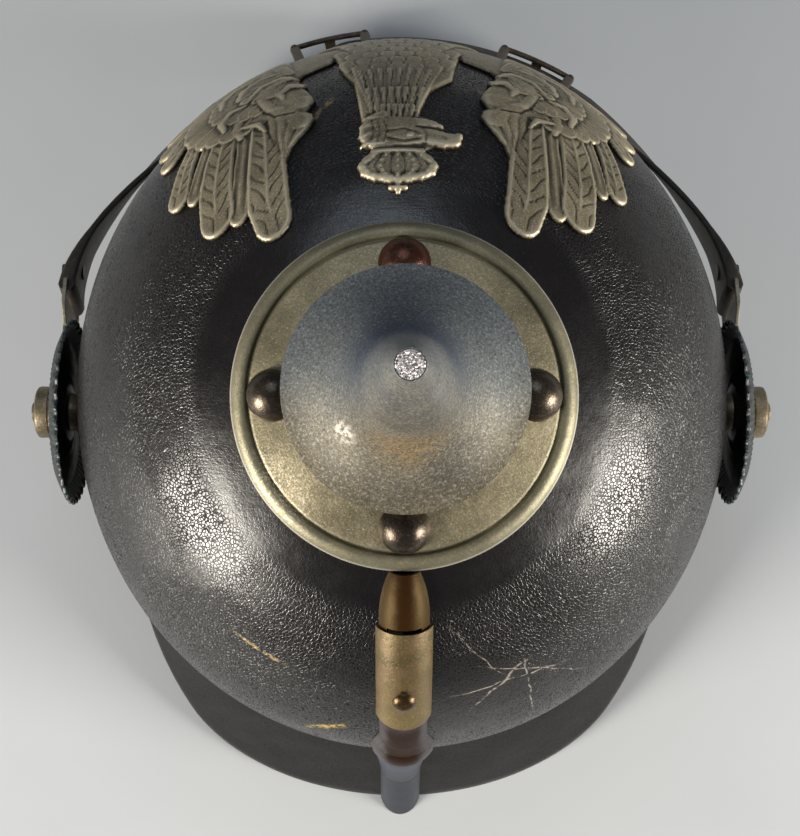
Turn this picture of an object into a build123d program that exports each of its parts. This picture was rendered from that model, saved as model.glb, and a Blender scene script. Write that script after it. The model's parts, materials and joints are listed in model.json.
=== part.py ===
"""A leather spiked helmet: an oval skull with two visors, grey metal fittings, a removable spike,
a rear spine with a sliding vent cover, an eagle plate, cockades, a chin strap and a leather liner.

The wearer faces -Y and +Z is up. The helmet stands on the edges of its visors at Z = 0, and the
Z axis is the axis of the spike.
"""
from build123d import *
from math import acos, asin, atan2, cos, degrees, hypot, pi, radians, sin, sqrt, tan
import os

os.makedirs("parts", exist_ok=True)

# Skull: an oval dome of leather
SKULL_LENGTH = 196.0
SKULL_WIDTH = 181.0
CROWN_HEIGHT = 150.0
CROWN_RADIUS = 131.0
WIDEST_HEIGHT = 72.0
RIM_HEIGHT = 36.0
RIM_TUCK = 1.5
SKULL_LEATHER = 2.3
SKULL_FORWARD = 4.0
CROWN_VENT_RADIUS = 9.0

# Visors: two leather cones sewn round the rim
FRONT_REACH = 25.0
REAR_REACH = 29.5
VISOR_LEATHER = 2.2
VISOR_OVERLAP = 2.0
VISOR_REST_DEPTH = 3.0
VISOR_EDGE_ROUND = 14.0
FRONT_EAR = 40.0
REAR_EAR = 35.0
TRIM_SHEET = 0.7
TRIM_WIDTH = 5.0

# Base plate on the crown, and its four domed studs
PLATE_RADIUS = 41.8
PLATE_SHEET = 0.8
BEAD_WIDTH = 3.6
BEAD_HEIGHT = 1.3
BEAD_EDGE = 0.4
BEAD_STEPS = 3
BEAD_ROUND_SHARE = 0.9
STUD_CIRCLE_RADIUS = 31.3
STUD_RADIUS = 6.3
STUD_HEIGHT = 5.2
STUD_SHANK_RADIUS = 1.5
STUD_COUNT = 4
WASHER_RADIUS = 6.0
WASHER_THICKNESS = 1.0
PRONG_LENGTH = 4.5
PRONG_THICKNESS = 1.0

# Neck on the base plate, which holds the spike
NECK_RADIUS = 20.0
NECK_FOOT_RADIUS = 24.0
NECK_WAIST_RADIUS = 18.0
NECK_WALL = 1.2
NECK_TOP_HEIGHT = 169.9
NECK_FLANGE = 2.0
NECK_FOOT_SKIRT = 1.4
NECK_VENT_RADIUS = 3.2
NECK_VENT_COUNT = 6

# Spike
SPIKE_TIP_HEIGHT = 241.0
SPIKE_TIP_RADIUS = 3.2
SPIKE_BASE_RADIUS = 27.8
SPIKE_FLARE_RADIUS = 26.0
SPIKE_FLARE_SLOPE = 22.0
SPIKE_RIM_HEIGHT = 1.8
SPIKE_SHEET = 1.0
SPIKE_TIP_SOLID = 10.0
PLUG_RADIUS = 14.5
PLUG_DEPTH = 8.0
PLUG_WALL = 1.2
PLUG_DISC = 1.0
LUG_COUNT = 3
LUG_WIDTH = 6.0
LUG_REACH = 2.4
LUG_HEIGHT = 2.0
BAYONET_CLEARANCE = 0.4
SEAT_CLEARANCE = 0.1

# Rear spine with its vent, and the vent cover that slides on it
SPINE_WIDTH = 12.4
SPINE_HEIGHT = 4.4
SPINE_SHEET = 0.8
SPINE_TIP_WIDTH = 7.5
SPINE_TIP_HEIGHT = 2.6
SPINE_HIP_WIDTH = 16.2
SPINE_HIP_START = 61.5
SPINE_HIP_END = 67.0
SPINE_END_WIDTH = 12.4
SPINE_END_REACH = 5.5
SPINE_LANDS = 16.0
SPINE_SKIRT = 1.2
VENT_START = 26.5
VENT_LENGTH = 12.0
VENT_WIDTH = 8.4
SLIDE_LENGTH = 31.0
SLIDE_SHEET = 0.5
SLIDE_CLEARANCE = 0.3
SLIDE_OPENING = 0.7
SLIDE_KNOB_RADIUS = 3.0
SLIDE_KNOB_HEIGHT = 2.8
SLIDE_KNOB_STALK_RADIUS = 1.6
SLIDE_KNOB_STALK = 0.5
SLIDE_KNOB_END = 13.1
SPINE_PIN_RADIUS = 1.2

# Side posts, cockades and strap ends
POST_HEIGHT = 64.0
POST_FLANGE_RADIUS = 8.5
POST_FLANGE = 1.6
POST_SHOULDER_RADIUS = 5.5
POST_NECK_RADIUS = 3.2
POST_KNOB_RADIUS = 7.4
POST_KNOB_LENGTH = 5.6
POST_KNOB_ROUND = 0.8
POST_NUB_RADIUS = 3.0
POST_NUB_HEIGHT = 1.5
POST_SHANK_RADIUS = 2.5
POST_SHANK_END = 0.4
POST_STANDOFF = 4.4
POST_NUT_RADIUS = 5.2
POST_NUT_THICKNESS = 2.2
HALF_SPAN_AT_COCKADE = 95.2
COCKADE_RADIUS = 26.6
COCKADE_TOOTH = 1.3
COCKADE_TEETH = 40
COCKADE_SHEET = 0.9
COCKADE_CROWN = 1.5
COCKADE_BACK_LEAN = 1.0
COCKADE_SHOULDER_SHARE = 0.8
STRAP_END_SHEET = 1.1
STRAP_END_EYE_RADIUS = 9.0
STRAP_END_LENGTH = 39.0
STRAP_END_WAIST = 11.0
STRAP_END_WIDTH = 21.0
STRAP_END_BAR = 2.4
STRAP_END_SLOT = 3.4
RUNNING_CLEARANCE = 0.08
SIDE_CLEARANCE = 0.3

# Chin strap: two leather halves that overlap on the front visor, and two buckles
STRAP_WIDTH = 16.5
STRAP_LEATHER = 1.9
STRAP_LEVEL = 17.5
STRAP_FIT_WIDTH = 55.0
STRAP_GAP = 0.3
STRAP_BAND_ANGLE = 36.0
STRAP_FOLD_THICKNESS = 5.2
STRAP_FOLD_LENGTH = 22.0
STRAP_PULL = 66.0
STRAP_SECTIONS = 7
BUCKLE_GAP = 0.35
BUCKLE_SHEET = 1.6
BUCKLE_BACK = 1.2
BUCKLE_LENGTH = 25.0
BUCKLE_HEIGHT = 22.0
BUCKLE_RAIL = 3.2
LEFT_BUCKLE_ANGLE = 12.4
RIGHT_BUCKLE_ANGLE = -24.7
STRAP_TONGUE = 4.0
RIVET_RADIUS = 2.4
RIVET_HEIGHT = 0.6

# Eagle plate on the front of the skull
EAGLE_HALF_SPAN = 68.0
EAGLE_HEIGHT = 115.0
EAGLE_SHIFT = 1.5
EAGLE_FOOT_LEVEL = -24.7
EAGLE_LEAN = 38.0
EAGLE_SHEET = 1.0
EAGLE_RELIEF = 1.0
LOOP_WIRE = 1.6
LOOP_WIDTH = 6.0
LOOP_DEPTH = 5.0
LOOP_HEIGHT = 92.0
LOOP_SPREAD = 24.0
WEDGE_LENGTH = 13.0
WEDGE_THICKNESS = 2.0

# Liner: a leather sweatband with tongues that gather below the crown
LINER_LEATHER = 1.2
LINER_GAP = 0.3
LINER_BAND_HEIGHT = 21.0
TONGUE_COUNT = 9
TONGUE_GAP_ANGLE = 7.0
TONGUE_DROP = 12.0
TONGUE_APEX_RADIUS = 17.0
TONGUE_MIDDLE_SHARE = 0.62
TONGUE_SLANT_SHARE = 0.7

# One overrun serves every cutter
OVERRUN = 5.0

# Lines of the skull that follow from the sizes above
HALF_LENGTH = SKULL_LENGTH / 2
OVAL_SHARE = SKULL_WIDTH / SKULL_LENGTH
CROWN_RISE = CROWN_HEIGHT - WIDEST_HEIGHT
CROWN_CENTER = CROWN_HEIGHT - CROWN_RADIUS
SHOULDER_RADIUS = (
    (2 * CROWN_RISE * CROWN_RADIUS - HALF_LENGTH**2 - CROWN_RISE**2)
    / (2 * (CROWN_RADIUS - HALF_LENGTH))
)
SHOULDER_OUT = HALF_LENGTH - SHOULDER_RADIUS
SHOULDER_START = degrees(asin(SHOULDER_OUT / (CROWN_RADIUS - SHOULDER_RADIUS)))
RIM_DROP = WIDEST_HEIGHT - RIM_HEIGHT
TUCK_RADIUS = (RIM_DROP**2 + RIM_TUCK**2) / (2 * RIM_TUCK)
RIM_RADIUS = HALF_LENGTH - RIM_TUCK
HALF_WIDTH = SKULL_WIDTH / 2
SHOULDER_AXIS = Axis((0, SHOULDER_OUT - SKULL_FORWARD, WIDEST_HEIGHT), (-1, 0, 0))


def from_vertical(center, radius, angle):
    """The point of a circle in the XZ plane, with the angle counted from straight up."""
    return (center[0] + radius * sin(radians(angle)), 0, center[1] + radius * cos(radians(angle)))


def arc_from_vertical(center, radius, start, end):
    """An arc in the XZ plane from one angle to another."""
    middle = (start + end) / 2
    return ThreePointArc(
        from_vertical(center, radius, start),
        from_vertical(center, radius, middle),
        from_vertical(center, radius, end),
    )


def face_of(*lines):
    """The flat face inside lines that join end to end."""
    return make_face([edge for line in lines for edge in line.edges()])


def ring_of(*points):
    """The solid that a closed outline of (out, up) points makes round the Z axis."""
    outline = Polyline(*[(out, 0, up) for out, up in points], close=True)
    return revolve(make_face(outline.edges()), axis=Axis.Z)


def oval(solid):
    """The solid narrowed to the skull's oval and set at the skull's middle."""
    return Pos(0, -SKULL_FORWARD, 0) * scale(solid, by=(OVAL_SHARE, 1, 1))


def skull_radius(height):
    """Half the skull's length at a height between the rim and the shoulder's start."""
    if height < WIDEST_HEIGHT:
        return HALF_LENGTH - TUCK_RADIUS + sqrt(TUCK_RADIUS**2 - (WIDEST_HEIGHT - height) ** 2)
    return SHOULDER_OUT + sqrt(SHOULDER_RADIUS**2 - (height - WIDEST_HEIGHT) ** 2)


def dome(grow):
    """The oval solid under a surface that lies this far outside the skull's leather."""
    crown_center = (0, CROWN_CENTER)
    shoulder_center = (SHOULDER_OUT, WIDEST_HEIGHT)
    tuck_center = (HALF_LENGTH - TUCK_RADIUS, WIDEST_HEIGHT)
    tuck_end = 90 + degrees(asin(RIM_DROP / (TUCK_RADIUS + grow)))
    top = from_vertical(crown_center, CROWN_RADIUS + grow, 0)
    rim = from_vertical(tuck_center, TUCK_RADIUS + grow, tuck_end)
    foot = (0, 0, RIM_HEIGHT)
    profile = face_of(
        arc_from_vertical(crown_center, CROWN_RADIUS + grow, 0, SHOULDER_START),
        arc_from_vertical(shoulder_center, SHOULDER_RADIUS + grow, SHOULDER_START, 90),
        arc_from_vertical(tuck_center, TUCK_RADIUS + grow, 90, tuck_end),
        Line(rim, foot),
        Line(foot, top),
    )
    return oval(revolve(profile, axis=Axis.Z))


SKULL_FORM = dome(0)
INNER_FORM = dome(-SKULL_LEATHER)


def crown_seat(across, behind):
    """The place on the crown at a plan position, with its Z along the leather's outward normal."""
    across_stretched = across / OVAL_SHARE
    behind_middle = behind + SKULL_FORWARD
    rise = sqrt(CROWN_RADIUS**2 - across_stretched**2 - behind_middle**2)
    normal = Vector(across_stretched / OVAL_SHARE, behind_middle, rise)
    return Plane(origin=(across, behind, CROWN_CENTER + rise), z_dir=normal)


# Skull and visors


def visor_ring(reach, grow=0):
    """The cone of one visor's leather all the way round, or the cone that covers its two faces.

    It runs on below the table, where the visor's lower edge is cut from it.
    """
    top = RIM_HEIGHT + VISOR_OVERLAP
    top_radius = skull_radius(top)
    foot_radius = RIM_RADIUS + reach
    slope = atan2(top, foot_radius - top_radius)
    across = VISOR_LEATHER / sin(slope)
    spread = grow / sin(slope)
    low_radius = foot_radius + OVERRUN / tan(slope)
    return oval(
        ring_of(
            (top_radius + spread, top),
            (low_radius + spread, -OVERRUN),
            (low_radius - across - spread, -OVERRUN),
            (top_radius - across - spread, top),
        )
    )


def visor_side(reach, ear, lift):
    """The block above one visor's curved lower edge, raised by lift; reach is signed."""
    top = RIM_HEIGHT + VISOR_OVERLAP
    way = 1 if reach > 0 else -1
    edge = way * (RIM_RADIUS + abs(reach)) - SKULL_FORWARD
    rest = edge - way * VISOR_REST_DEPTH
    far = edge + way * OVERRUN
    climb = atan2(top, abs(rest) - VISOR_EDGE_ROUND - ear)
    bend = VISOR_EDGE_ROUND / tan(climb / 2)
    start, middle, end = [
        (0, rest - way * bend * sin(climb * share), bend * (1 - cos(climb * share)))
        for share in (0, 1 / 2, 1)
    ]
    outline = face_of(
        Line((0, far, 0), start),
        ThreePointArc(start, middle, end),
        Polyline(end, (0, way * ear, top), (0, far, top), (0, far, 0)),
    )
    return Pos(0, 0, lift) * extrude(outline, SKULL_WIDTH, dir=(1, 0, 0), both=True)


def reach_under(reach, cover):
    """The reach of leather whose metal cover, on the outer face, ends at a given reach."""
    top = RIM_HEIGHT + VISOR_OVERLAP
    run = RIM_RADIUS + reach - skull_radius(top)
    square = top**2 - cover**2
    inner_run = (top**2 * run - top * cover * sqrt(run**2 + square)) / square
    return skull_radius(top) + inner_run - RIM_RADIUS


FRONT_LEATHER_REACH = reach_under(FRONT_REACH, TRIM_SHEET)


def skull_shell():
    """The leather skull, open below, with vent holes at the crown and under the rear spine."""
    shell = SKULL_FORM - INNER_FORM
    crown_vent = Pos(0, 0, WIDEST_HEIGHT) * Cylinder(
        CROWN_VENT_RADIUS, CROWN_RISE + OVERRUN, align=(Align.CENTER, Align.CENTER, Align.MIN)
    )
    shell -= crown_vent
    shell -= vent_cutter(SHOULDER_RADIUS - SKULL_LEATHER - OVERRUN)
    for angle in STUD_ANGLES:
        shell -= stud_shank(angle, STUD_SHANK_RADIUS)
    for side in (1, -1):
        shell -= post_shank(side, POST_SHANK_RADIUS)
        shell -= loop_slot(side)
    for height in SPINE_PIN_ANGLES:
        shell -= spine_pin_shank(height)
    return shell


def front_visor():
    """The front visor's leather, raised from the table by its metal edge."""
    leather = visor_ring(FRONT_LEATHER_REACH) & visor_side(-FRONT_REACH, FRONT_EAR, TRIM_SHEET)
    return leather - SKULL_FORM


def front_visor_trim():
    """The metal channel round the front visor's edge."""
    channel = visor_ring(FRONT_LEATHER_REACH, TRIM_SHEET) & visor_side(-FRONT_REACH, FRONT_EAR, 0)
    channel -= visor_side(-FRONT_REACH, FRONT_EAR, TRIM_WIDTH)
    return channel - front_visor() - SKULL_FORM


def rear_visor():
    """The neck guard's leather."""
    leather = visor_ring(REAR_REACH) & visor_side(REAR_REACH, REAR_EAR, 0)
    return leather - SKULL_FORM


# Base plate, studs and neck


STUD_ANGLES = [index * 360 / STUD_COUNT for index in range(STUD_COUNT)]


def disc_under(radius):
    """A tall cylinder on the spike's axis, used to bound pieces in plan."""
    return Pos(0, 0, WIDEST_HEIGHT) * Cylinder(
        radius, CROWN_HEIGHT, align=(Align.CENTER, Align.CENTER, Align.MIN)
    )


def base_plate():
    """The round plate that follows the crown, with a rounded bead near its edge."""
    plate = (dome(PLATE_SHEET) - SKULL_FORM) & disc_under(PLATE_RADIUS)
    bead_outer = PLATE_RADIUS - BEAD_EDGE
    for step in range(1, BEAD_STEPS + 1):
        share = step / BEAD_STEPS
        inset = BEAD_WIDTH / 2 * (1 - sqrt(1 - share**2 * BEAD_ROUND_SHARE))
        band = disc_under(bead_outer - inset) - disc_under(bead_outer - BEAD_WIDTH + inset)
        plate += (dome(PLATE_SHEET + BEAD_HEIGHT * share) - dome(PLATE_SHEET / 2)) & band
    plate -= disc_under(CROWN_VENT_RADIUS)
    for angle in STUD_ANGLES:
        plate -= stud_shank(angle, STUD_SHANK_RADIUS)
    return plate


def stud_seat(angle):
    """The place of one stud on the leather."""
    return crown_seat(
        STUD_CIRCLE_RADIUS * cos(radians(angle)), STUD_CIRCLE_RADIUS * sin(radians(angle))
    )


def stud_shank(angle, radius):
    """The shank of one stud, from inside the skull to the underside of its dome."""
    length = PLATE_SHEET + SKULL_LEATHER + WASHER_THICKNESS + PRONG_THICKNESS
    seat = stud_seat(angle)
    return seat * Pos(0, 0, PLATE_SHEET - length / 2) * Cylinder(radius, length)


def plate_stud(angle):
    """A domed stud with its shank, and two prongs bent flat against the washer inside."""
    seat = stud_seat(angle)
    ball = (STUD_RADIUS**2 + STUD_HEIGHT**2) / (2 * STUD_HEIGHT)
    head = Pos(0, 0, PLATE_SHEET + STUD_HEIGHT - ball) * Sphere(ball)
    head &= Pos(0, 0, PLATE_SHEET) * Cylinder(
        ball, STUD_HEIGHT, align=(Align.CENTER, Align.CENTER, Align.MIN)
    )
    prong = Pos(0, 0, -SKULL_LEATHER - WASHER_THICKNESS) * Box(
        2 * PRONG_LENGTH,
        2 * PRONG_THICKNESS,
        PRONG_THICKNESS,
        align=(Align.CENTER, Align.CENTER, Align.MAX),
    )
    return seat * (head + prong) - dome(PLATE_SHEET) + stud_shank(angle, STUD_SHANK_RADIUS)


def stud_washer(angle):
    """The washer under one stud, inside the skull."""
    seat = stud_seat(angle)
    disc = Pos(0, 0, -SKULL_LEATHER) * Cylinder(
        WASHER_RADIUS, WASHER_THICKNESS, align=(Align.CENTER, Align.CENTER, Align.MAX)
    )
    hole = Cylinder(STUD_SHANK_RADIUS, WASHER_RADIUS * 2)
    return (seat * (disc - hole)) & INNER_FORM


def neck_foot_height(radius):
    """The crown's height at a distance from the spike's axis, at its lowest round the circle."""
    return CROWN_CENTER + sqrt(CROWN_RADIUS**2 - (radius / OVAL_SHARE + SKULL_FORWARD) ** 2)


def spike_neck():
    """The vented neck soldered to the base plate, with a notched flange that holds the spike."""
    low = neck_foot_height(NECK_FOOT_RADIUS)
    top = NECK_TOP_HEIGHT
    flange_low = top - NECK_FLANGE
    foot_top = CROWN_HEIGHT + PLATE_SHEET + NECK_FOOT_SKIRT
    waist = (foot_top + flange_low) / 2
    outer = face_of(
        Polyline((0, 0, top), (NECK_RADIUS, 0, top), (NECK_RADIUS, 0, flange_low)),
        ThreePointArc(
            (NECK_RADIUS, 0, flange_low), (NECK_WAIST_RADIUS, 0, waist), (NECK_RADIUS, 0, foot_top)
        ),
        Polyline(
            (NECK_RADIUS, 0, foot_top),
            (NECK_FOOT_RADIUS, 0, foot_top),
            (NECK_FOOT_RADIUS, 0, low),
            (0, 0, low),
            (0, 0, top),
        ),
    )
    bore = NECK_RADIUS - NECK_WALL
    inner = face_of(
        Polyline((0, 0, flange_low), (bore, 0, flange_low)),
        ThreePointArc(
            (bore, 0, flange_low), (NECK_WAIST_RADIUS - NECK_WALL, 0, waist), (bore, 0, foot_top)
        ),
        Polyline((bore, 0, foot_top), (bore, 0, low), (0, 0, low), (0, 0, flange_low)),
    )
    neck = revolve(outer, axis=Axis.Z) - revolve(inner, axis=Axis.Z)
    mouth = PLUG_RADIUS + BAYONET_CLEARANCE
    neck -= Pos(0, 0, top) * Cylinder(mouth, 3 * NECK_FLANGE)
    for index in range(LUG_COUNT):
        notch = Box(
            PLUG_RADIUS + LUG_REACH + BAYONET_CLEARANCE,
            LUG_WIDTH + 2 * BAYONET_CLEARANCE,
            3 * NECK_FLANGE,
            align=(Align.MIN, Align.CENTER, Align.CENTER),
        )
        neck -= Rot(0, 0, index * 360 / LUG_COUNT) * Pos(0, 0, top) * notch
    for index in range(NECK_VENT_COUNT):
        turn = (index + 1 / 2) * 360 / NECK_VENT_COUNT
        vent = Pos(0, 0, waist) * Rot(0, 90, 0) * Cylinder(
            NECK_VENT_RADIUS, 2 * NECK_RADIUS, align=(Align.CENTER, Align.CENTER, Align.MIN)
        )
        neck -= Rot(0, 0, turn) * vent
    return neck - dome(PLATE_SHEET)


# Spike


SPIKE_LOW = NECK_TOP_HEIGHT + SEAT_CLEARANCE
SPIKE_SHOULDER = SPIKE_LOW + SPIKE_RIM_HEIGHT


def spike_side(inset, tip_radius, tip_height):
    """The flared side of the spike from its rim to its tip, drawn inset from the outer skin."""
    slope = radians(SPIKE_FLARE_SLOPE)
    center_out = SPIKE_BASE_RADIUS + SPIKE_FLARE_RADIUS * sin(slope)
    center_up = SPIKE_SHOULDER + SPIKE_FLARE_RADIUS * cos(slope)
    radius = SPIKE_FLARE_RADIUS + inset
    away_out = tip_radius - center_out
    away_up = tip_height - center_up
    distance = hypot(away_out, away_up)
    # The straight side touches the flare's circle where it leaves towards the tip.
    bearing = atan2(away_up, away_out)
    touch = bearing + acos(radius / distance)
    rim_angle = -acos((SPIKE_BASE_RADIUS - inset - center_out) / radius)
    if touch > pi:
        touch -= 2 * pi
    middle = (touch + rim_angle) / 2
    points = [
        (center_out + radius * cos(angle), 0, center_up + radius * sin(angle))
        for angle in (rim_angle, middle, touch)
    ]
    return points, ThreePointArc(*points), Line(points[2], (tip_radius, 0, tip_height))


def spike_shell():
    """The hollow sheet-metal spike with its flared base and solid tip."""
    points, flare, side = spike_side(0, SPIKE_TIP_RADIUS, SPIKE_TIP_HEIGHT)
    outer = face_of(
        flare,
        side,
        Polyline(
            (SPIKE_TIP_RADIUS, 0, SPIKE_TIP_HEIGHT),
            (0, 0, SPIKE_TIP_HEIGHT),
            (0, 0, SPIKE_LOW),
            (SPIKE_BASE_RADIUS, 0, SPIKE_LOW),
            points[0],
        ),
    )
    inner_tip = SPIKE_TIP_HEIGHT - SPIKE_TIP_SOLID
    inner_tip_radius = SPIKE_TIP_RADIUS / 2
    inner_points, inner_flare, inner_side = spike_side(SPIKE_SHEET, inner_tip_radius, inner_tip)
    inner_out, _, inner_low = inner_points[0]
    inner = face_of(
        inner_flare,
        inner_side,
        Polyline(
            (inner_tip_radius, 0, inner_tip),
            (0, 0, inner_tip),
            (0, 0, SPIKE_LOW),
            (inner_out, 0, SPIKE_LOW),
            (inner_out, 0, inner_low),
        ),
    )
    return revolve(outer, axis=Axis.Z) - revolve(inner, axis=Axis.Z)


def spike_plug():
    """The disc and socket inside the spike's base, with the three lugs that go into the neck."""
    disc_low = SPIKE_LOW
    disc_radius = SPIKE_BASE_RADIUS - SPIKE_SHEET
    bottom = NECK_TOP_HEIGHT - PLUG_DEPTH
    plug = ring_of(
        (0, disc_low + PLUG_DISC),
        (disc_radius, disc_low + PLUG_DISC),
        (disc_radius, disc_low),
        (PLUG_RADIUS, disc_low),
        (PLUG_RADIUS, bottom),
        (PLUG_RADIUS - PLUG_WALL, bottom),
        (PLUG_RADIUS - PLUG_WALL, disc_low),
        (0, disc_low),
    )
    lug_low = NECK_TOP_HEIGHT - NECK_FLANGE - SIDE_CLEARANCE - LUG_HEIGHT
    for index in range(LUG_COUNT):
        lug = Pos(PLUG_RADIUS - PLUG_WALL / 2, 0, lug_low) * Box(
            LUG_REACH + PLUG_WALL / 2,
            LUG_WIDTH,
            LUG_HEIGHT,
            align=(Align.MIN, Align.CENTER, Align.MIN),
        )
        plug += Rot(0, 0, index * 360 / LUG_COUNT) * lug
    return plug


# Rear spine and vent cover


CROWN_AXIS = Axis((0, -SKULL_FORWARD, CROWN_CENTER), (-1, 0, 0))
REAR_TOP_RADIUS = skull_radius(RIM_HEIGHT + VISOR_OVERLAP)
REAR_SLOPE = atan2(RIM_HEIGHT + VISOR_OVERLAP, RIM_RADIUS + REAR_REACH - REAR_TOP_RADIUS)
SPINE_END_HEIGHT = SPINE_END_REACH * sin(REAR_SLOPE)


def guard_place(height):
    """The neck guard's outer face on the middle line, as (behind, up)."""
    top = RIM_HEIGHT + VISOR_OVERLAP
    return (REAR_TOP_RADIUS - SKULL_FORWARD + (top - height) / tan(REAR_SLOPE), height)


def bar_section(place, angle, width, height, skirt):
    """A round-backed section across the spine: place is its base and angle its outward normal."""
    plane = Plane(
        origin=(0, place[0], place[1]),
        x_dir=(1, 0, 0),
        z_dir=(0, -cos(radians(angle)), sin(radians(angle))),
    )
    half = width / 2
    arch = ThreePointArc((-half, 0), (0, height), (half, 0))
    sides = Polyline((half, 0), (half, -skirt), (-half, -skirt), (-half, 0))
    return plane * make_face(arch.edges() + sides.edges())


def on_rear(angle, grow=0):
    """The point of the rear middle line at an angle about the crown's or the shoulder's centre."""
    if angle < SHOULDER_START:
        center, radius = (-SKULL_FORWARD, CROWN_CENTER), CROWN_RADIUS
    else:
        center, radius = (SHOULDER_OUT - SKULL_FORWARD, WIDEST_HEIGHT), SHOULDER_RADIUS
    out = (radius + grow) * sin(radians(angle))
    up = (radius + grow) * cos(radians(angle))
    return (center[0] + out, center[1] + up)


PLATE_EDGE_ANGLE = degrees(asin((PLATE_RADIUS + SKULL_FORWARD) / CROWN_RADIUS))
CAP_ROUND_SHARES = [(0.0, 0.0), (0.25, 0.5), (0.55, 0.85), (1.0, 1.0)]
CAP_ROUND_ANGLE = SHOULDER_START - PLATE_EDGE_ANGLE
SPINE_ELBOW_SHARES = (0.3, 0.55, 0.8)


def spine_bar(inset):
    """The spine as a solid bar, or the hollow inside it where inset is its sheet."""
    skirt = SPINE_SKIRT + 2 * inset
    width = SPINE_WIDTH - 2 * inset
    height = SPINE_HEIGHT - inset
    sections = []
    for way_share, size_share in CAP_ROUND_SHARES:
        angle = PLATE_EDGE_ANGLE + CAP_ROUND_ANGLE * way_share
        sections.append(
            bar_section(
                on_rear(angle),
                angle,
                SPINE_TIP_WIDTH + (SPINE_WIDTH - SPINE_TIP_WIDTH) * size_share - 2 * inset,
                SPINE_TIP_HEIGHT + (SPINE_HEIGHT - SPINE_TIP_HEIGHT) * size_share - inset,
                skirt,
            )
        )
    cap = loft(sections)
    start = bar_section(on_rear(SHOULDER_START), SHOULDER_START, width, height, skirt)
    back = revolve(start, axis=SHOULDER_AXIS, revolution_arc=SPINE_HIP_START - SHOULDER_START)
    hip_width = SPINE_HIP_WIDTH - 2 * inset
    hip = loft(
        [
            bar_section(on_rear(SPINE_HIP_START), SPINE_HIP_START, width, height, skirt),
            bar_section(on_rear(SPINE_HIP_END), SPINE_HIP_END, hip_width, height, skirt),
        ]
    )
    end_width = SPINE_END_WIDTH - 2 * inset
    end_height = SPINE_END_HEIGHT - inset
    guard_normal = 90 - degrees(atan2(cos(REAR_SLOPE), sin(REAR_SLOPE)))
    low = guard_place(SPINE_LANDS)
    crest = (
        low[0] + SPINE_END_HEIGHT * sin(REAR_SLOPE),
        low[1] + SPINE_END_HEIGHT * cos(REAR_SLOPE),
    )
    widest = on_rear(90, SPINE_HEIGHT)
    elbow = degrees(atan2(widest[1] - crest[1], crest[0] - widest[0]))
    stations = [
        bar_section(on_rear(angle), angle, hip_width, height, skirt)
        for angle in (SPINE_HIP_END, (SPINE_HIP_END + 90) / 2, 90)
    ]
    for share in SPINE_ELBOW_SHARES:
        station_height = height + (end_height - height) * share
        drop = SPINE_HEIGHT + (SPINE_END_HEIGHT - SPINE_HEIGHT) * share
        place = (
            widest[0] + (crest[0] - widest[0]) * share - drop * sin(radians(elbow)),
            widest[1] + (crest[1] - widest[1]) * share - drop * cos(radians(elbow)),
        )
        station_width = hip_width + (end_width - hip_width) * share
        deep = 2 * (place[0] - on_rear(90)[0]) + skirt
        stations.append(bar_section(place, elbow, station_width, station_height, deep))
    stations.append(bar_section(low, guard_normal, end_width, end_height, skirt))
    fairing = loft(stations)
    run = (SPINE_LANDS + OVERRUN) / sin(REAR_SLOPE)
    stop = inset / sin(REAR_SLOPE) * 2
    end = extrude(
        bar_section(low, guard_normal, end_width, end_height, skirt),
        run if inset == 0 else run - OVERRUN / sin(REAR_SLOPE) - stop,
        dir=(0, cos(REAR_SLOPE), -sin(REAR_SLOPE)),
    )
    return cap + back + hip + fairing + end


VENT_START_ANGLE = VENT_START
VENT_ANGLE = degrees(VENT_LENGTH / SHOULDER_RADIUS)


def vent_cutter(low_radius):
    """The vent opening through the spine, cut from a radius about the shoulder's centre."""
    place = Plane(
        origin=SHOULDER_AXIS.position,
        x_dir=(1, 0, 0),
        z_dir=(0, -cos(radians(VENT_START_ANGLE)), sin(radians(VENT_START_ANGLE))),
    )
    high_radius = SHOULDER_RADIUS + SPINE_HEIGHT + OVERRUN
    depth = high_radius - low_radius
    window = place * Pos(0, low_radius + depth / 2) * Rectangle(VENT_WIDTH, depth)
    return revolve(window, axis=SHOULDER_AXIS, revolution_arc=VENT_ANGLE)


def floor_block():
    """A block below the table."""
    return Box(
        2 * SKULL_LENGTH, 2 * SKULL_LENGTH, SKULL_LENGTH, align=(Align.CENTER, Align.CENTER, Align.MAX)
    )


def guard_skin():
    """The neck guard's whole cone, filled inside, used to seat the spine on it."""
    top = RIM_HEIGHT + VISOR_OVERLAP
    return oval(ring_of((0, 0), (RIM_RADIUS + REAR_REACH, 0), (REAR_TOP_RADIUS, top), (0, top)))


def rear_spine():
    """The half-round metal spine down the back, hollow, with its vent opening."""
    spine = spine_bar(0) - spine_bar(SPINE_SHEET)
    spine -= vent_cutter(SHOULDER_RADIUS - OVERRUN)
    spine -= SKULL_FORM
    spine -= guard_skin()
    spine -= disc_under(PLATE_RADIUS)
    spine -= floor_block()
    return spine


SPINE_PIN_ANGLES = (62.0, 78.0)


def spine_pin_shank(angle):
    """The shank of one spine pin, from the spine's roof through the leather."""
    inside = on_rear(angle, -SKULL_LEATHER - PRONG_THICKNESS)
    length = SPINE_HEIGHT - SPINE_SHEET - SIDE_CLEARANCE + SKULL_LEATHER + PRONG_THICKNESS
    plane = Plane(
        origin=(0, inside[0], inside[1]), z_dir=(0, sin(radians(angle)), cos(radians(angle)))
    )
    return plane * Cylinder(SPINE_PIN_RADIUS, length, align=(Align.CENTER, Align.CENTER, Align.MIN))


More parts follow.
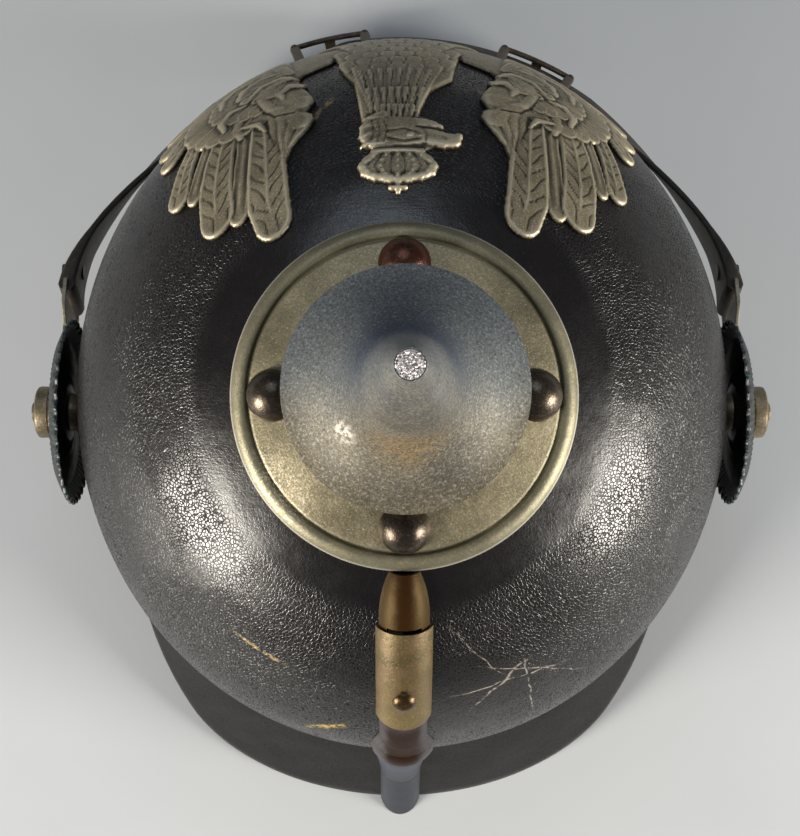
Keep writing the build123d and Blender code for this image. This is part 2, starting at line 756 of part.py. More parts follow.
def spine_pin(angle):
    """A pin that holds the spine, with its two legs bent flat inside the skull."""
    inside = on_rear(angle, -SKULL_LEATHER)
    plane = Plane(
        origin=(0, inside[0], inside[1]),
        x_dir=(1, 0, 0),
        z_dir=(0, sin(radians(angle)), cos(radians(angle))),
    )
    legs = plane * Box(
        2 * PRONG_LENGTH,
        2 * PRONG_THICKNESS,
        PRONG_THICKNESS,
        align=(Align.CENTER, Align.CENTER, Align.MAX),
    )
    return (legs & INNER_FORM) + spine_pin_shank(angle)


SLIDE_BASE = SLIDE_CLEARANCE + SLIDE_SHEET
SLIDE_TOP_ANGLE = VENT_START_ANGLE + degrees(SLIDE_OPENING / SHOULDER_RADIUS)
SLIDE_ANGLE = degrees(SLIDE_LENGTH / SHOULDER_RADIUS)
SLIDE_KNOB_ANGLE = SLIDE_TOP_ANGLE + SLIDE_ANGLE - degrees(SLIDE_KNOB_END / SHOULDER_RADIUS)


def slide_arch(grow):
    """The round-backed line that lies this far outside the spine."""
    half = SPINE_WIDTH / 2 + grow
    return [(-half, SLIDE_CLEARANCE), (0, SPINE_HEIGHT + grow), (half, SLIDE_CLEARANCE)]


def vent_slide():
    """The curved sheet cover that slides down the spine and opens the vent."""
    outer = slide_arch(SLIDE_BASE)
    inner = slide_arch(SLIDE_CLEARANCE)
    place = on_rear(SLIDE_TOP_ANGLE)
    plane = Plane(
        origin=(0, place[0], place[1]),
        x_dir=(1, 0, 0),
        z_dir=(0, -cos(radians(SLIDE_TOP_ANGLE)), sin(radians(SLIDE_TOP_ANGLE))),
    )
    section = plane * face_of(
        ThreePointArc(*outer),
        Line(outer[2], inner[2]),
        ThreePointArc(*inner),
        Line(inner[0], outer[0]),
    )
    return revolve(section, axis=SHOULDER_AXIS, revolution_arc=SLIDE_ANGLE)


def vent_slide_knob():
    """The small round knob riveted to the cover."""
    foot = on_rear(SLIDE_KNOB_ANGLE, SPINE_HEIGHT + SLIDE_CLEARANCE + SLIDE_SHEET / 2)
    plane = Plane(
        origin=(0, foot[0], foot[1]),
        z_dir=(0, sin(radians(SLIDE_KNOB_ANGLE)), cos(radians(SLIDE_KNOB_ANGLE))),
    )
    stalk_height = SLIDE_SHEET / 2 + SLIDE_KNOB_STALK
    stalk = Cylinder(
        SLIDE_KNOB_STALK_RADIUS,
        stalk_height + SLIDE_KNOB_HEIGHT / 2,
        align=(Align.CENTER, Align.CENTER, Align.MIN),
    )
    head = face_of(
        ThreePointArc(
            (0, 0, SLIDE_KNOB_HEIGHT),
            (SLIDE_KNOB_RADIUS * sin(pi / 4), 0, SLIDE_KNOB_HEIGHT * (1 + sin(pi / 4)) / 2),
            (SLIDE_KNOB_RADIUS, 0, SLIDE_KNOB_HEIGHT / 2),
        ),
        Polyline(
            (SLIDE_KNOB_RADIUS, 0, SLIDE_KNOB_HEIGHT / 2),
            (SLIDE_KNOB_RADIUS * sin(pi / 4), 0, 0),
            (0, 0, 0),
            (0, 0, SLIDE_KNOB_HEIGHT),
        ),
    )
    ball = Pos(0, 0, stalk_height) * revolve(head, axis=Axis.Z)
    return plane * (stalk + ball) - vent_slide()


# Side posts and cockades


SKULL_SIDE = OVAL_SHARE * sqrt(skull_radius(POST_HEIGHT) ** 2 - SKULL_FORWARD**2)
COCKADE_PLACE = SKULL_SIDE + POST_STANDOFF
STRAP_END_PLACE = COCKADE_PLACE + COCKADE_CROWN + COCKADE_SHEET + SIDE_CLEARANCE
KNOB_PLACE = STRAP_END_PLACE + STRAP_END_SHEET + SIDE_CLEARANCE


def side_place(side, out):
    """The plane across a side post at a distance from the helmet's middle."""
    return Plane(origin=(side * out, 0, POST_HEIGHT), x_dir=(0, 1, 0), z_dir=(side, 0, 0))


def post_shank(side, radius):
    """The post's threaded shank through the leather."""
    reach = POST_FLANGE / 2 + SKULL_LEATHER + POST_NUT_THICKNESS + POST_SHANK_END
    return side_place(side, SKULL_SIDE + POST_FLANGE / 2) * Cylinder(
        radius, reach, align=(Align.CENTER, Align.CENTER, Align.MAX)
    )


def side_post(side):
    """The turned post with its foot flange, shoulder, neck and knob."""
    knob_end = KNOB_PLACE + POST_KNOB_LENGTH
    rounded = knob_end - POST_KNOB_ROUND
    inside = SKULL_SIDE - OVERRUN / 2
    body = ring_of(
        (0, inside),
        (POST_FLANGE_RADIUS, inside),
        (POST_FLANGE_RADIUS, SKULL_SIDE + POST_FLANGE),
        (POST_SHOULDER_RADIUS, SKULL_SIDE + POST_FLANGE),
        (POST_SHOULDER_RADIUS, COCKADE_PLACE),
        (POST_NECK_RADIUS, COCKADE_PLACE),
        (POST_NECK_RADIUS, KNOB_PLACE),
        (POST_KNOB_RADIUS, KNOB_PLACE),
        (POST_KNOB_RADIUS, rounded),
        (POST_KNOB_RADIUS - POST_KNOB_ROUND, knob_end),
        (POST_NUB_RADIUS, knob_end),
        (POST_NUB_RADIUS - POST_KNOB_ROUND, knob_end + POST_NUB_HEIGHT),
        (0, knob_end + POST_NUB_HEIGHT),
    )
    return side_place(side, 0) * body - SKULL_FORM + post_shank(side, POST_SHANK_RADIUS)


def post_nut(side):
    """The round nut inside the skull."""
    nut = side_place(side, SKULL_SIDE - SKULL_LEATHER) * Cylinder(
        POST_NUT_RADIUS, 2 * POST_NUT_THICKNESS
    )
    return (nut & INNER_FORM) - post_shank(side, POST_SHANK_RADIUS)


def cockade(side):
    """A dished disc with a toothed edge, threaded on the side post."""
    hub = COCKADE_PLACE
    high = COCKADE_PLACE + COCKADE_CROWN
    edge = COCKADE_PLACE - COCKADE_BACK_LEAN
    crown_out = COCKADE_RADIUS / 2
    shoulder_out = COCKADE_RADIUS * COCKADE_SHOULDER_SHARE
    disc = ring_of(
        (POST_NECK_RADIUS, hub),
        (POST_SHOULDER_RADIUS, hub),
        (crown_out, high),
        (shoulder_out, high),
        (COCKADE_RADIUS, edge),
        (COCKADE_RADIUS, edge + COCKADE_SHEET),
        (shoulder_out, high + COCKADE_SHEET),
        (crown_out, high + COCKADE_SHEET),
        (POST_SHOULDER_RADIUS, hub + COCKADE_SHEET),
        (POST_NECK_RADIUS, hub + COCKADE_SHEET),
    )
    teeth = []
    for index in range(COCKADE_TEETH):
        for place, radius in ((0, COCKADE_RADIUS), (1 / 2, COCKADE_RADIUS - COCKADE_TOOTH)):
            turn = (index + place) * 2 * pi / COCKADE_TEETH
            teeth.append((radius * cos(turn), radius * sin(turn)))
    outline = make_face(Polyline(*teeth, close=True).edges())
    toothed = extrude(outline, 2 * COCKADE_PLACE)
    return side_place(side, 0) * (disc & toothed)


# Chin strap, its metal ends, rivets and buckles


VISOR_TOP = RIM_HEIGHT + VISOR_OVERLAP
VISOR_TOP_RADIUS = skull_radius(VISOR_TOP)
VISOR_FOOT_RADIUS = RIM_RADIUS + FRONT_LEATHER_REACH
VISOR_SLOPE = atan2(VISOR_TOP, VISOR_FOOT_RADIUS - VISOR_TOP_RADIUS)


def visor_radius(height):
    """Half the length of the front visor's outer face at a height."""
    return VISOR_TOP_RADIUS + (VISOR_TOP - height) / tan(VISOR_SLOPE)


def strap_circle():
    """The radius of the circle that fits the visor's oval front at the strap's height."""
    long_half = visor_radius(STRAP_LEVEL)
    wide_half = long_half * OVAL_SHARE
    sag = long_half * (1 - sqrt(1 - (STRAP_FIT_WIDTH / wide_half) ** 2))
    return (STRAP_FIT_WIDTH**2 + sag**2) / (2 * sag)


STRAP_CIRCLE = strap_circle()
STRAP_CENTER = STRAP_CIRCLE - visor_radius(STRAP_LEVEL) - SKULL_FORWARD
VISOR_GAP = TRIM_SHEET + BUCKLE_GAP
INNER_LAYER = VISOR_GAP + BUCKLE_BACK + BUCKLE_GAP
OUTER_LAYER = INNER_LAYER + STRAP_LEATHER + STRAP_GAP


def band_section(layer, thickness, width, length_up=0):
    """The section of a band that leans with the visor, in the XZ plane of the strap's axis."""
    out = cos(pi / 2 - VISOR_SLOPE)
    up = sin(pi / 2 - VISOR_SLOPE)
    middle_out = STRAP_CIRCLE + out * layer - up * length_up
    middle_up = STRAP_LEVEL + up * layer + out * length_up
    half = width / 2
    corners = []
    for along, deep in ((-half, 0), (half, 0), (half, thickness), (-half, thickness)):
        corners.append((middle_out - up * along + out * deep, 0, middle_up + out * along + up * deep))
    return make_face(Polyline(*corners, close=True).edges())


def band(layer, thickness, width, start, end, length_up=0):
    """A band round the front from one angle to another; 0 is straight ahead and + is to +X."""
    section = band_section(layer, thickness, width, length_up)
    turned = Rot(0, 0, start - 90) * section
    solid = revolve(turned, axis=Axis.Z, revolution_arc=end - start)
    return Pos(0, STRAP_CENTER, 0) * solid


STRAP_DROP = degrees(atan2(POST_HEIGHT - STRAP_LEVEL, visor_radius(STRAP_LEVEL) + SKULL_FORWARD))


def strap_start(side):
    """The plane across the strap where it leaves its metal end; X is along the strap's width."""
    drop = radians(STRAP_DROP)
    reach = STRAP_END_LENGTH - STRAP_END_BAR / 2
    origin = Vector(
        side * (STRAP_END_PLACE + STRAP_END_SHEET / 2),
        -reach * cos(drop),
        POST_HEIGHT - reach * sin(drop),
    )
    return origin, Vector(0, -cos(drop), -sin(drop)), Vector(0, -sin(drop), cos(drop))


def band_end(side, layer):
    """The middle, direction and width direction of a strap half where its front band begins."""
    angle = radians(STRAP_BAND_ANGLE)
    out = cos(pi / 2 - VISOR_SLOPE)
    up = sin(pi / 2 - VISOR_SLOPE)
    deep = layer + STRAP_LEATHER / 2
    radius = STRAP_CIRCLE + out * deep
    origin = Vector(
        side * radius * sin(angle), STRAP_CENTER - radius * cos(angle), STRAP_LEVEL + up * deep
    )
    along = Vector(-side * cos(angle), -sin(angle), 0)
    wide = Vector(-side * up * sin(angle), up * cos(angle), out)
    return origin, along, wide


def strap_section(origin, along, wide, thickness):
    """A flat leather section across the strap's path."""
    plane = Plane(origin=origin, x_dir=wide, z_dir=along)
    return plane * Rectangle(STRAP_WIDTH, thickness)


def strap_side(side, layer):
    """The free stretch of one strap half, from its metal end to the front band."""
    first, first_way, first_wide = strap_start(side)
    last, last_way, last_wide = band_end(side, layer)
    sections = []
    fold_share = STRAP_FOLD_LENGTH / (last - first).length
    for index in range(STRAP_SECTIONS):
        share = index / (STRAP_SECTIONS - 1)
        rest = 1 - share
        start_weight = rest**2 * (1 + 2 * share)
        end_weight = share**2 * (1 + 2 * rest)
        place = first * start_weight + last * end_weight
        place += first_way * (STRAP_PULL * share * rest**2) - last_way * (STRAP_PULL * share**2 * rest)
        way = (last - first) * (6 * share * rest)
        way += first_way * (STRAP_PULL * rest * (1 - 3 * share))
        way += last_way * (STRAP_PULL * share * (3 * share - 2))
        way = way.normalized()
        wide = first_wide * rest + last_wide * share
        wide = (wide - way * wide.dot(way)).normalized()
        extra = max(0, 1 - share / fold_share)
        thickness = STRAP_LEATHER + (STRAP_FOLD_THICKNESS - STRAP_LEATHER) * extra
        sections.append(strap_section(place, way, wide, thickness))
    return loft(sections)


def strap_fold(side):
    """The rounded fold of leather round the bar of the metal end."""
    origin, along, wide = strap_start(side)
    plane = Plane(origin=origin, x_dir=along, z_dir=wide)
    roll = Cylinder(STRAP_FOLD_THICKNESS / 2, STRAP_WIDTH)
    core = Box(STRAP_END_BAR, STRAP_FOLD_THICKNESS, STRAP_WIDTH)
    return plane * (roll + Pos(STRAP_END_BAR / 2, 0, 0) * core)


def bar_cutter(side):
    """The room that the bar of the metal end takes inside the fold."""
    origin, along, wide = strap_start(side)
    plane = Plane(origin=origin, x_dir=along, z_dir=wide)
    return plane * Box(STRAP_END_BAR, STRAP_END_SHEET, 2 * STRAP_WIDTH)


def chin_strap(side, layer, far_angle):
    """One half of the chin strap: its fold, its free side and its band on the visor."""
    leather = strap_side(side, layer) + (strap_fold(side) - strap_hole(side))
    if side > 0:
        front = band(layer, STRAP_LEATHER, STRAP_WIDTH, far_angle, STRAP_BAND_ANGLE)
    else:
        front = band(layer, STRAP_LEATHER, STRAP_WIDTH, -STRAP_BAND_ANGLE, far_angle)
    return leather + front - bar_cutter(side) - strap_rivet(side)


def strap_hole(side):
    """Nothing of the fold stands in the slot of the metal end beyond its bar."""
    origin, along, wide = strap_start(side)
    plane = Plane(origin=origin, x_dir=along, z_dir=wide)
    far = Pos(-STRAP_END_BAR / 2 - STRAP_END_SLOT, 0, 0)
    return plane * far * Box(STRAP_END_SLOT, 2 * STRAP_FOLD_THICKNESS, 2 * STRAP_WIDTH)


def strap_end(side):
    """The flat metal end of the strap: an eye on the post and a slotted head for the leather."""
    origin, along, wide = strap_start(side)
    face = Plane(origin=(side * STRAP_END_PLACE, 0, POST_HEIGHT), x_dir=along, z_dir=(side, 0, 0))
    head_start = STRAP_END_LENGTH - 2 * STRAP_END_BAR - STRAP_END_SLOT
    waist = STRAP_END_WAIST / 2
    half = STRAP_END_WIDTH / 2
    outline = Circle(STRAP_END_EYE_RADIUS)
    outline += make_face(
        Polyline(
            (0, -waist),
            (head_start - waist, -waist),
            (head_start, -half),
            (STRAP_END_LENGTH, -half),
            (STRAP_END_LENGTH, half),
            (head_start, half),
            (head_start - waist, waist),
            (0, waist),
            close=True,
        ).edges()
    )
    slot_middle = STRAP_END_LENGTH - STRAP_END_BAR - STRAP_END_SLOT / 2
    slot_half_wide = STRAP_WIDTH / 2 + SIDE_CLEARANCE
    outline -= Pos(slot_middle, 0) * Rectangle(STRAP_END_SLOT, 2 * slot_half_wide)
    outline -= Circle(POST_NECK_RADIUS + RUNNING_CLEARANCE)
    return extrude(face * outline, STRAP_END_SHEET, dir=(side, 0, 0))


def strap_rivet(side):
    """The two rivet heads that close the fold."""
    origin, along, wide = strap_start(side)
    place = origin + along * (STRAP_END_BAR / 2 + STRAP_FOLD_LENGTH / 3)
    plane = Plane(origin=place, x_dir=wide, z_dir=(side, 0, 0))
    return plane * Cylinder(RIVET_RADIUS, STRAP_FOLD_THICKNESS + 2 * RIVET_HEIGHT)


def buckle(angle):
    """A buckle frame round the strap: two rails across, two cheeks, and a bar behind."""
    turn = degrees(BUCKLE_LENGTH / (STRAP_CIRCLE + OUTER_LAYER)) / 2
    rail = degrees(BUCKLE_RAIL / (STRAP_CIRCLE + OUTER_LAYER))
    front = OUTER_LAYER + STRAP_LEATHER + BUCKLE_GAP
    cheek = (BUCKLE_HEIGHT - STRAP_WIDTH) / 2 - BUCKLE_GAP
    cheek_up = (BUCKLE_HEIGHT - cheek) / 2
    frame = Part()
    for start in (angle - turn, angle + turn - rail):
        frame += band(front, BUCKLE_SHEET, BUCKLE_HEIGHT, start, start + rail)
    for way in (1, -1):
        frame += band(front, BUCKLE_SHEET, cheek, angle - turn, angle + turn, way * cheek_up)
        ear = band(
            VISOR_GAP, front - VISOR_GAP, cheek, angle - rail / 2, angle + rail / 2, way * cheek_up
        )
        frame += ear
    frame += band(VISOR_GAP, BUCKLE_BACK, BUCKLE_HEIGHT, angle - rail / 2, angle + rail / 2)
    return frame


# Eagle plate


EAGLE_PLANE = Plane(
    origin=(0, 0, 0),
    x_dir=(1, 0, 0),
    z_dir=(0, -cos(radians(EAGLE_LEAN)), sin(radians(EAGLE_LEAN))),
)
EAGLE_DEPTH = CROWN_HEIGHT + OVERRUN

# Feathers of one wing as shares of the half span and the height: root, tip, and width as a share
# of the half span.
FEATHER_SHARES = [
    ((0.493, 0.693), (0.422, 0.996), 0.165),
    ((0.544, 0.702), (0.566, 0.943), 0.075),
    ((0.618, 0.693), (0.637, 0.945), 0.15),
    ((0.691, 0.684), (0.754, 0.846), 0.075),
    ((0.765, 0.65), (0.813, 0.83), 0.106),
    ((0.794, 0.563), (0.926, 0.654), 0.088),
    ((0.765, 0.528), (0.963, 0.563), 0.09),
    ((0.721, 0.476), (0.949, 0.467), 0.095),
    ((0.647, 0.441), (0.882, 0.371), 0.10),
    ((0.559, 0.423), (0.779, 0.284), 0.10),
    ((0.47, 0.423), (0.647, 0.241), 0.095),
]
SHOULDER_SHARES = [
    (0.18, 0.40),
    (0.24, 0.50),
    (0.34, 0.53),
    (0.387, 0.55),
    (0.343, 0.612),
    (0.312, 0.661),
    (0.301, 0.737),
    (0.35, 0.78),
    (0.404, 0.85),
    (0.45, 0.77),
    (0.56, 0.73),
    (0.70, 0.69),
    (0.79, 0.62),
    (0.78, 0.52),
    (0.66, 0.42),
    (0.46, 0.385),
    (0.32, 0.40),
]
BODY_SHARES = [
    (0.0, 0.19),
    (0.11, 0.22),
    (0.20, 0.34),
    (0.24, 0.48),
    (0.20, 0.583),
    (0.163, 0.628),
    (0.15, 0.68),
    (0.132, 0.757),
    (0.128, 0.81),
    (0.116, 0.83),
    (-0.085, 0.84),
    (-0.149, 0.822),
    (-0.218, 0.825),
    (-0.231, 0.791),
    (-0.157, 0.789),
    (-0.15, 0.759),
    (-0.063, 0.744),
    (-0.051, 0.731),
    (-0.081, 0.696),
    (-0.138, 0.653),
    (-0.204, 0.614),
    (-0.24, 0.48),
    (-0.20, 0.34),
    (-0.11, 0.22),
]
CROWN_SHARES = [
    (0.0, 0.82),
    (-0.09, 0.835),
    (-0.157, 0.873),
    (-0.138, 0.896),
    (-0.09, 0.91),
    (-0.025, 0.912),
    (-0.025, 0.922),
    (-0.05, 0.922),
    (-0.05, 0.94),
    (0.05, 0.94),
    (0.05, 0.922),
    (0.025, 0.922),
    (0.025, 0.912),
    (0.09, 0.91),
    (0.138, 0.896),
    (0.157, 0.873),
    (0.09, 0.825),
]
TAIL_SHARES = [
    ((0.0, 0.24), (0.0, 0.02), 0.12),
    ((0.04, 0.24), (0.13, 0.035), 0.11),
    ((-0.04, 0.24), (-0.13, 0.035), 0.11),
    ((0.08, 0.25), (0.24, 0.085), 0.10),
    ((-0.08, 0.25), (-0.24, 0.085), 0.10),
]
LEG_SHARES = [
    ((0.15, 0.36), (0.37, 0.20), 0.11),
    ((0.34, 0.22), (0.49, 0.18), 0.06),
    ((0.34, 0.22), (0.42, 0.115), 0.06),
    ((0.34, 0.22), (0.31, 0.12), 0.06),
]
FEATHER_SIDE_SHARES = [(0.0, 0.3), (0.75, 0.5), (0.93, 0.38), (1.0, 0.12)]
RIDGE_SHARE = 0.5
RIDGE_LENGTH_SHARE = 0.86
BODY_RIDGE_SHARE = 0.7


def eagle_point(shares, side=1):
    """A point of the plate from its shares of the half span and the height."""
    across = EAGLE_SHIFT + side * shares[0] * EAGLE_HALF_SPAN
    return Vector(across, EAGLE_FOOT_LEVEL + shares[1] * EAGLE_HEIGHT)


def outline_of(points):
    """The flat face inside a closed outline."""
    return make_face(Polyline(*points, close=True).edges())


def feather(root, tip, width):
    """A feather's flat outline: narrow at the root and rounded at the tip."""
    way = tip - root
    across = Vector(-way.Y, way.X).normalized() * width
    right = [root + way * along + across * out for along, out in FEATHER_SIDE_SHARES]
    left = [root + way * along - across * out for along, out in FEATHER_SIDE_SHARES]
    return outline_of(right + left[::-1])


def eagle_feathers(rows, sides, ridge):
    """The outlines of feathers, or the narrower ridge along each."""
    shapes = []
    for side in sides:
        for root_shares, tip_shares, width_share in rows:
            root = eagle_point(root_shares, side)
            tip = eagle_point(tip_shares, side)
            width = width_share * EAGLE_HALF_SPAN
            if ridge:
                tip = root + (tip - root) * RIDGE_LENGTH_SHARE
                width *= RIDGE_SHARE
            shapes.append(feather(root, tip, width))
    return shapes


def eagle_outline():
    """The whole plate's outline: wings, body, crown, tail and legs."""
    shape = outline_of([eagle_point(shares) for shares in BODY_SHARES])
    shape += outline_of([eagle_point(shares) for shares in CROWN_SHARES])
    for side in (1, -1):
        shape += outline_of([eagle_point(shares, side) for shares in SHOULDER_SHARES])
    for piece in eagle_feathers(FEATHER_SHARES + LEG_SHARES, (1, -1), False):
        shape += piece
    for piece in eagle_feathers(TAIL_SHARES, (1,), False):
        shape += piece
    return shape


def shrunk(points, share):
    """Points drawn towards their own middle."""
    middle = sum(points, Vector()) / len(points)
    return [middle + (point - middle) * share for point in points]


def on_front(outline, low, high):
    """The layer of the front between two surfaces, bounded by a flat outline."""
    near = EAGLE_PLANE * Pos(0, 0, EAGLE_DEPTH / 2) * outline
    block = extrude(near, EAGLE_DEPTH / 2, dir=EAGLE_PLANE.z_dir)
    return (high - low) & block


def front_plate():
    """The eagle plate: a thin layer on the leather with raised feathers, wing and body."""
    plate = on_front(eagle_outline(), SKULL_FORM, dome(EAGLE_SHEET))
    body = [eagle_point(shares) for shares in BODY_SHARES]
    ridges = outline_of(shrunk(body, BODY_RIDGE_SHARE))
    for side in (1, -1):
        shoulder = [eagle_point(shares, side) for shares in SHOULDER_SHARES]
        ridges += outline_of(shrunk(shoulder, BODY_RIDGE_SHARE))
    for piece in eagle_feathers(FEATHER_SHARES, (1, -1), True):
        ridges += piece
    for piece in eagle_feathers(TAIL_SHARES, (1,), True):
        ridges += piece
    return plate + on_front(ridges, dome(EAGLE_SHEET / 2), dome(EAGLE_SHEET + EAGLE_RELIEF))


def loop_place(side):
    """The plane of one fixing loop of the eagle plate, with Z out of the skull's front."""
    across = side * LOOP_SPREAD
    radius = skull_radius(LOOP_HEIGHT)
    behind = -SKULL_FORWARD - sqrt(radius**2 - (across / OVAL_SHARE) ** 2)
    up_share = (LOOP_HEIGHT - WIDEST_HEIGHT) / SHOULDER_RADIUS
    level = sqrt(1 - up_share**2)
    normal = Vector(
        level * across / OVAL_SHARE / radius / OVAL_SHARE, level * (behind + SKULL_FORWARD) / radius, up_share
    )
    return Plane(origin=(across, behind, LOOP_HEIGHT), x_dir=(0, 0, 1), z_dir=normal)


def loop_slot(side):
    """The hole in the leather that a fixing loop passes through."""
    return loop_place(side) * Box(LOOP_WIRE, LOOP_WIDTH, 4 * SKULL_LEATHER)


def plate_loop(side):
    """A flat loop soldered behind the eagle plate and reaching through the leather."""
    reach = SKULL_LEATHER + LOOP_DEPTH
    loop = Box(LOOP_WIRE, LOOP_WIDTH, reach, align=(Align.CENTER, Align.CENTER, Align.MAX))
    eye_low = -SKULL_LEATHER - WEDGE_THICKNESS / 2 - SIDE_CLEARANCE
    eye = Pos(0, 0, eye_low) * Box(2 * LOOP_WIRE, LOOP_WIDTH / 2, WEDGE_THICKNESS)
    return loop_place(side) * (loop - eye)


def loop_wedge(side):
    """The wedge pushed through a loop inside the skull."""
    depth = -SKULL_LEATHER - WEDGE_THICKNESS / 2 - SIDE_CLEARANCE
    wedge = Pos(0, 0, depth) * Box(WEDGE_LENGTH, LOOP_WIDTH / 2, WEDGE_THICKNESS)
    return (loop_place(side) * wedge) & INNER_FORM


# Liner


def liner_band():
    """The sweatband inside the rim."""
    band_solid = dome(-SKULL_LEATHER - LINER_GAP) - dome(-SKULL_LEATHER - LINER_GAP - LINER_LEATHER)
    keep = Pos(0, -SKULL_FORWARD, RIM_HEIGHT) * Cylinder(
        SKULL_LENGTH, LINER_BAND_HEIGHT, align=(Align.CENTER, Align.CENTER, Align.MIN)
    )
    return band_solid & keep


def liner_tongues():
    """The leather tongues that rise from the sweatband and lean together below the crown."""
    low = RIM_HEIGHT + LINER_BAND_HEIGHT / 2
    depth = SKULL_LEATHER + 2 * LINER_GAP + LINER_LEATHER
    foot_out = skull_radius(low) - depth
    top = CROWN_HEIGHT - SKULL_LEATHER - TONGUE_DROP
    middle_up = WIDEST_HEIGHT + (top - WIDEST_HEIGHT) * TONGUE_MIDDLE_SHARE
    middle_out = skull_radius(middle_up) - 2 * TONGUE_DROP
    arc = ThreePointArc((foot_out, 0, low), (middle_out, 0, middle_up), (TONGUE_APEX_RADIUS, 0, top))
    slant = LINER_LEATHER * TONGUE_SLANT_SHARE
    inner_arc = ThreePointArc(
        (foot_out - LINER_LEATHER, 0, low),
        (middle_out - slant, 0, middle_up - slant),
        (TONGUE_APEX_RADIUS, 0, top - LINER_LEATHER),
    )
    profile = face_of(
        arc,
        Line((TONGUE_APEX_RADIUS, 0, top), (TONGUE_APEX_RADIUS, 0, top - LINER_LEATHER)),
        inner_arc,
        Line((foot_out - LINER_LEATHER, 0, low), (foot_out, 0, low)),
    )
    tongue = revolve(profile, axis=Axis.Z, revolution_arc=360 / TONGUE_COUNT - TONGUE_GAP_ANGLE)
    return [oval(Rot(0, 0, 90 + index * 360 / TONGUE_COUNT) * tongue) for index in range(TONGUE_COUNT)]


def write(name, *solids):
    """Write the solids of one node to its file."""
    pieces = [solid for shape in solids for solid in shape.solids()]
    for solid in pieces:
        if not solid.is_valid:
            print("not valid:", name)
    export_step(pieces[0] if len(pieces) == 1 else Compound(pieces), f"parts/{name}.step")


def build():
    """Make every piece and write it."""
    write("skull_shell", skull_shell())
    write("front_visor", front_visor())
    write("front_visor_trim", front_visor_trim())
    write("rear_visor", rear_visor())
    write("base_plate", base_plate())
    write("plate_studs", *[plate_stud(angle) for angle in STUD_ANGLES])
    write("stud_washers", *[stud_washer(angle) for angle in STUD_ANGLES])
    write("spike_neck", spike_neck())
    write("spike_shell", spike_shell())
    write("spike_plug", spike_plug())
    write("rear_spine", rear_spine())
    write("spine_pins", *[spine_pin(angle) for angle in SPINE_PIN_ANGLES])
    write("vent_slide", vent_slide())
    write("vent_slide_knob", vent_slide_knob())
    for side, word in ((1, "left"), (-1, "right")):
        write(f"side_post_{word}", side_post(side))
        write(f"post_nut_{word}", post_nut(side))
        write(f"cockade_{word}", cockade(side))
        write(f"strap_end_{word}", strap_end(side))
    write("chin_strap_left", chin_strap(1, INNER_LAYER, RIGHT_BUCKLE_ANGLE))
    write("chin_strap_right", chin_strap(-1, OUTER_LAYER, LEFT_BUCKLE_ANGLE))
    write("strap_rivets", *[strap_rivet(side) for side in (1, -1)])
    write("buckle_left", buckle(LEFT_BUCKLE_ANGLE))
    write("buckle_right", buckle(RIGHT_BUCKLE_ANGLE))
    write("front_plate", front_plate())
    write("plate_loops", *[plate_loop(side) for side in (1, -1)])
    write("loop_wedges", *[loop_wedge(side) for side in (1, -1)])
    write("liner_band", liner_band())
    write("liner_tongues", *liner_tongues())


build()
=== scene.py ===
import json
from math import acos, asin, atan2, cos, hypot, pi, radians, sin, sqrt, tan

import bmesh
import bpy
import numpy as np
from mathutils import Matrix, Vector, noise

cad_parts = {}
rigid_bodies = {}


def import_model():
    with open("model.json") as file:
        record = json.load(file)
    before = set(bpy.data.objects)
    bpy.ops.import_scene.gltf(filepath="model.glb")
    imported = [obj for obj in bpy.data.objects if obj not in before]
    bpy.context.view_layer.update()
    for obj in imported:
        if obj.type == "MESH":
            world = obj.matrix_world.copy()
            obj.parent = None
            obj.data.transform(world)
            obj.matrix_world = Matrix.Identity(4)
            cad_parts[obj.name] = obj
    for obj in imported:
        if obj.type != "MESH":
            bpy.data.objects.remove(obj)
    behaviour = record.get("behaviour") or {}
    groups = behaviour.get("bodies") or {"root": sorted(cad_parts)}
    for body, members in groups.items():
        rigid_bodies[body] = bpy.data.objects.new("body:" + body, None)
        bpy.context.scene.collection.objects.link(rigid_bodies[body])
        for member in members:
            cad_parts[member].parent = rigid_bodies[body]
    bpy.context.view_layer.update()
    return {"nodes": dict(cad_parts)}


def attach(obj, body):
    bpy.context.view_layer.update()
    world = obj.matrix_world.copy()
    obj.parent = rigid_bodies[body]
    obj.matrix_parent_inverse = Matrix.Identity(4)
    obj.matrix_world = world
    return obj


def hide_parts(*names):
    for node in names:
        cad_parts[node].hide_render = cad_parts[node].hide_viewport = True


for leftover in list(bpy.data.objects):
    bpy.data.objects.remove(leftover)
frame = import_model()

# Sizes in millimetres. The skull is a turned profile, squeezed to an oval and set forward:
# a crown arc, a shoulder arc and a tuck arc, each with its radius and its centre's place.
MM = 0.001
OVAL = 181 / 196
FORWARD = 4.0
CROWN, CROWN_UP = 131.0, 19.0
SHOULDER, SHOULDER_OUT, WIDEST = 71.9394, 26.0606, 72.0
SHOULDER_START = asin(SHOULDER_OUT / (CROWN - SHOULDER))
TUCK = 432.75
HALF_LENGTH = 98
TUCK_OUT = HALF_LENGTH - TUCK
CROWN_EDGE = 57.8
RIM = 36.0
LEATHER = 2.3
SEAM_OUT = 96.5
SEAM_UP = 38.0
POST_UP = 64.0
BAND_UP = 17.5
PLATE_OUT = 41.75
SPIKE_FOOT, SPIKE_FOOT_OUT = 170.0, 27.8


# Numbers and the skull's form


def vec(*values):
    """An array of decimals."""
    return np.array(values, float)


def unit(values):
    """Vectors of length one."""
    values = np.asarray(values, float)
    return values / np.linalg.norm(values, axis=-1, keepdims=True)


def smooth(share):
    """A soft step from 0 to 1."""
    share = np.clip(share, 0, 1)
    return share * share * (3 - 2 * share)


